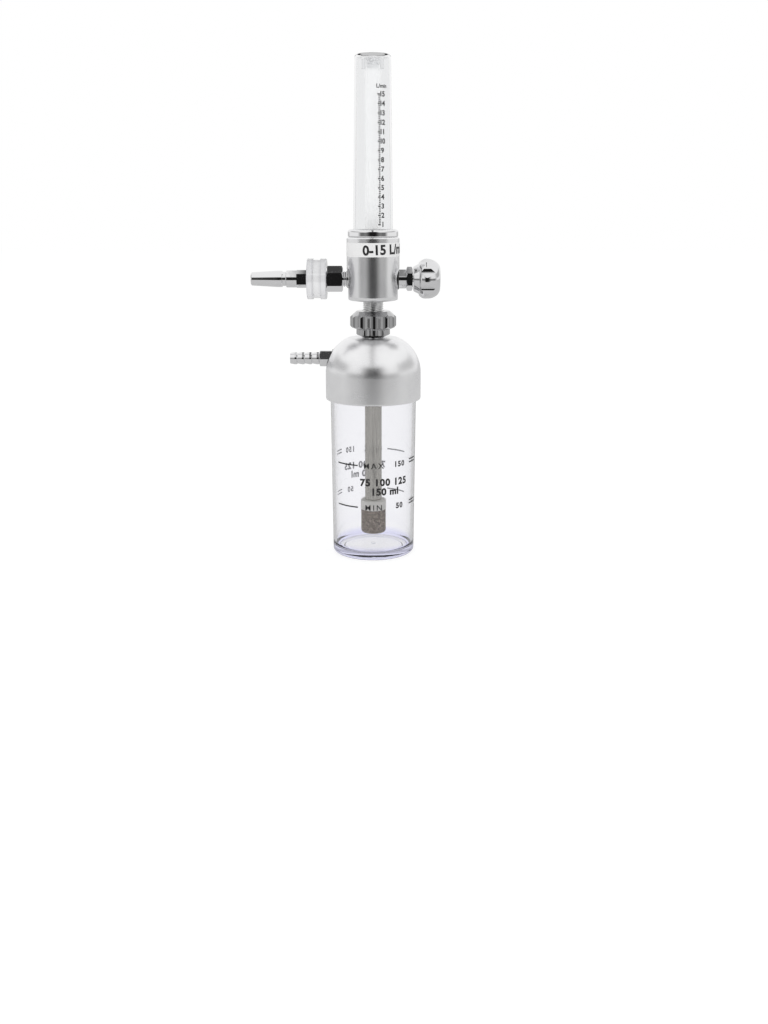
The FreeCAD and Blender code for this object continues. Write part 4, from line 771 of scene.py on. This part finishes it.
# %% Bottle print
BOTTLE_FOOT_RADIUS = 28.6 * MM
BOTTLE_NECK_RADIUS = 29.8 * MM
BOTTLE_NECK_Z = 104.0 * MM
LEVEL_HIGH_Z = 67.5 * MM
LEVEL_LOW_Z = 38.0 * MM
VOLUMES_Z = 52.6 * MM
LINE_WIDTH = 0.95 * MM
LONG_DASH = 17.5 * MM
SHORT_DASH = 9.0 * MM
WORD_HEIGHT = 3.8 * MM
LEVEL_VOLUME_HEIGHT = 3.6 * MM
VOLUME_HEIGHT = 4.6 * MM
VOLUME_BOLD = 0.32 * MM


def bottle_radius(height):
    share = min(height / BOTTLE_NECK_Z, 1.0)
    return BOTTLE_FOOT_RADIUS + (BOTTLE_NECK_RADIUS - BOTTLE_FOOT_RADIUS) * share


def bottle_print(pieces, name, face, height, print_ink):
    rolled(joined(pieces, name), bottle_radius, face, height, "bottle_turn", print_ink)


def level_line(name, word, volume, height, face, print_ink):
    """A dash, a word, a volume and two short dashes round the bottle at one level."""
    letters = flat_text(word, WORD_HEIGHT, bold=0.05 * MM, spacing=1.4)
    digits = flat_text(volume, LEVEL_VOLUME_HEIGHT, bold=0.24 * MM, spacing=1.2)
    pieces = [
        moved(flat_bar(LONG_DASH, LINE_WIDTH), across=-19.4 * MM, up=0.3 * MM),
        moved(letters, across=0.4 * MM, up=0.0),
        moved(digits, across=19.5 * MM, up=0.5 * MM),
        moved(flat_bar(SHORT_DASH, LINE_WIDTH), across=34.0 * MM, up=2.4 * MM),
        moved(flat_bar(SHORT_DASH, LINE_WIDTH), across=34.0 * MM, up=0.2 * MM),
    ]
    bottle_print(pieces, name, face, height, print_ink)


def volume_table(name, face, print_ink):
    """The volumes between the two level lines."""
    upper = flat_text("75 100 125", VOLUME_HEIGHT, bold=VOLUME_BOLD, spacing=1.15)
    lower = flat_text("150 ml", VOLUME_HEIGHT, bold=VOLUME_BOLD, spacing=1.1)
    rows = [moved(upper, across=8.4 * MM, up=3.2 * MM), moved(lower, across=8.6 * MM, up=-3.4 * MM)]
    bottle_print(rows, name, face, VOLUMES_Z, print_ink)


for side_name, turn, print_ink in (("front", 0.0, ink_black), ("back", pi, ink_thin)):
    face = radians(-90.0) + turn
    level_line("level_max_" + side_name, "MAX", "150", LEVEL_HIGH_Z, face, print_ink)
    level_line("level_min_" + side_name, "MIN", "50", LEVEL_LOW_Z, face, print_ink)
    volume_table("volumes_" + side_name, face, print_ink)

# %% [markdown]
# The outlet under the body has a real screw thread. A smooth cylinder would betray it at once, so the
# piece is turned from its outline by a spin, with eight rings of points for each turn of the thread,
# and each point is then moved in or out by where it stands on the helix.

# %% Outline of the outlet
nipple_low, nipple_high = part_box("outlet_nipple")
OUTLET_RADIUS = ((nipple_high - nipple_low) / 2).x
THREAD_PITCH = 1.411 * MM
THREAD_TOP_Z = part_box("flowmeter_body")[0].z    # the underside of the body
OUTLET_SCREW_RADIUS = 6.0 * MM
OUTLET_BORE_RADIUS = 3.0 * MM
OUTLET_SEAT_RADIUS = 4.8 * MM
OUTLET_SEAT_DEPTH = 3.0 * MM
CHAMFER_WIDTH = 0.6 * MM
CHAMFER_HEIGHT = 0.3 * MM
RINGS_A_TURN = 8


def outlet_outline():
    """The radius and the height of each ring of points, from the foot up the outside and down the bore."""
    rings = int((THREAD_TOP_Z - nipple_low.z) / THREAD_PITCH * RINGS_A_TURN)
    outline = [(OUTLET_SEAT_RADIUS, nipple_low.z), (OUTLET_RADIUS - CHAMFER_WIDTH, nipple_low.z)]
    for ring in range(rings + 1):
        height = nipple_low.z + (THREAD_TOP_Z - nipple_low.z) * ring / rings
        outline.append((OUTLET_RADIUS, max(height, nipple_low.z + CHAMFER_HEIGHT)))
    return outline + [
        (OUTLET_SCREW_RADIUS, THREAD_TOP_Z),
        (OUTLET_SCREW_RADIUS, nipple_high.z),
        (OUTLET_BORE_RADIUS, nipple_high.z),
        (OUTLET_BORE_RADIUS, nipple_low.z + OUTLET_SEAT_DEPTH),
        (OUTLET_SEAT_RADIUS, nipple_low.z + OUTLET_SEAT_DEPTH),
    ]


# %% Threaded outlet
THREAD_DEPTH = 0.62 * MM
THREAD_END_FADE = 1.0 * MM
CREST_FLAT = 0.12       # of half a turn, and as much again at the root
FLANK = 0.76            # of half a turn
SPIN_STEPS = 72
MERGE_DISTANCE = 0.002 * MM
NEAR = 0.01 * MM
SHARP_ANGLE = radians(35.0)


def thread_cut(angle, height):
    """How deep the thread is cut at a point of the outlet, from 0 at a crest to 1 in the root."""
    turns = height / THREAD_PITCH - angle / (2 * pi)
    wave = abs((turns % 1.0) * 2.0 - 1.0)
    depth = min(max((wave - CREST_FLAT) / FLANK, 0.0), 1.0)
    near_end = min(height - nipple_low.z, THREAD_TOP_Z - height) / THREAD_END_FADE
    return depth * min(max(near_end, 0.0), 1.0)


def threaded_outlet():
    mesh = bpy.data.meshes.new("threaded_outlet")
    verts = [(radius, 0.0, height) for radius, height in outlet_outline()]
    edges = [(index, (index + 1) % len(verts)) for index in range(len(verts))]
    mesh.from_pydata(verts, edges, [])
    piece = bpy.data.objects.new("threaded_outlet", mesh)
    bpy.context.scene.collection.objects.link(piece)
    bpy.ops.object.select_all(action="DESELECT")
    piece.select_set(True)
    bpy.context.view_layer.objects.active = piece
    bpy.ops.object.mode_set(mode="EDIT")
    bpy.ops.mesh.select_all(action="SELECT")
    bpy.ops.mesh.spin(steps=SPIN_STEPS, angle=2 * pi, center=(0, 0, 0), axis=(0, 0, 1))
    bpy.ops.mesh.select_all(action="SELECT")
    bpy.ops.mesh.remove_doubles(threshold=MERGE_DISTANCE)
    bpy.ops.mesh.normals_make_consistent(inside=False)
    bpy.ops.object.mode_set(mode="OBJECT")
    for vert in piece.data.vertices:
        reach = sqrt(vert.co.x ** 2 + vert.co.y ** 2)
        if reach > OUTLET_RADIUS - NEAR and vert.co.z < THREAD_TOP_Z + NEAR:
            cut = THREAD_DEPTH * thread_cut(atan2(vert.co.y, vert.co.x), vert.co.z)
            vert.co.x *= (reach - cut) / reach
            vert.co.y *= (reach - cut) / reach
    bpy.ops.object.shade_smooth_by_angle(angle=SHARP_ANGLE)
    piece.data.materials.append(materials["outlet_metal"])
    return piece


outlet = threaded_outlet()
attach(outlet, "flowmeter")
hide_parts("outlet_nipple")
print("threaded outlet:", len(outlet.data.polygons), "faces")

# %% [markdown]
# The colours are shown through the plain Standard view transform.

# %% The end
bpy.context.scene.view_settings.view_transform = "Standard"
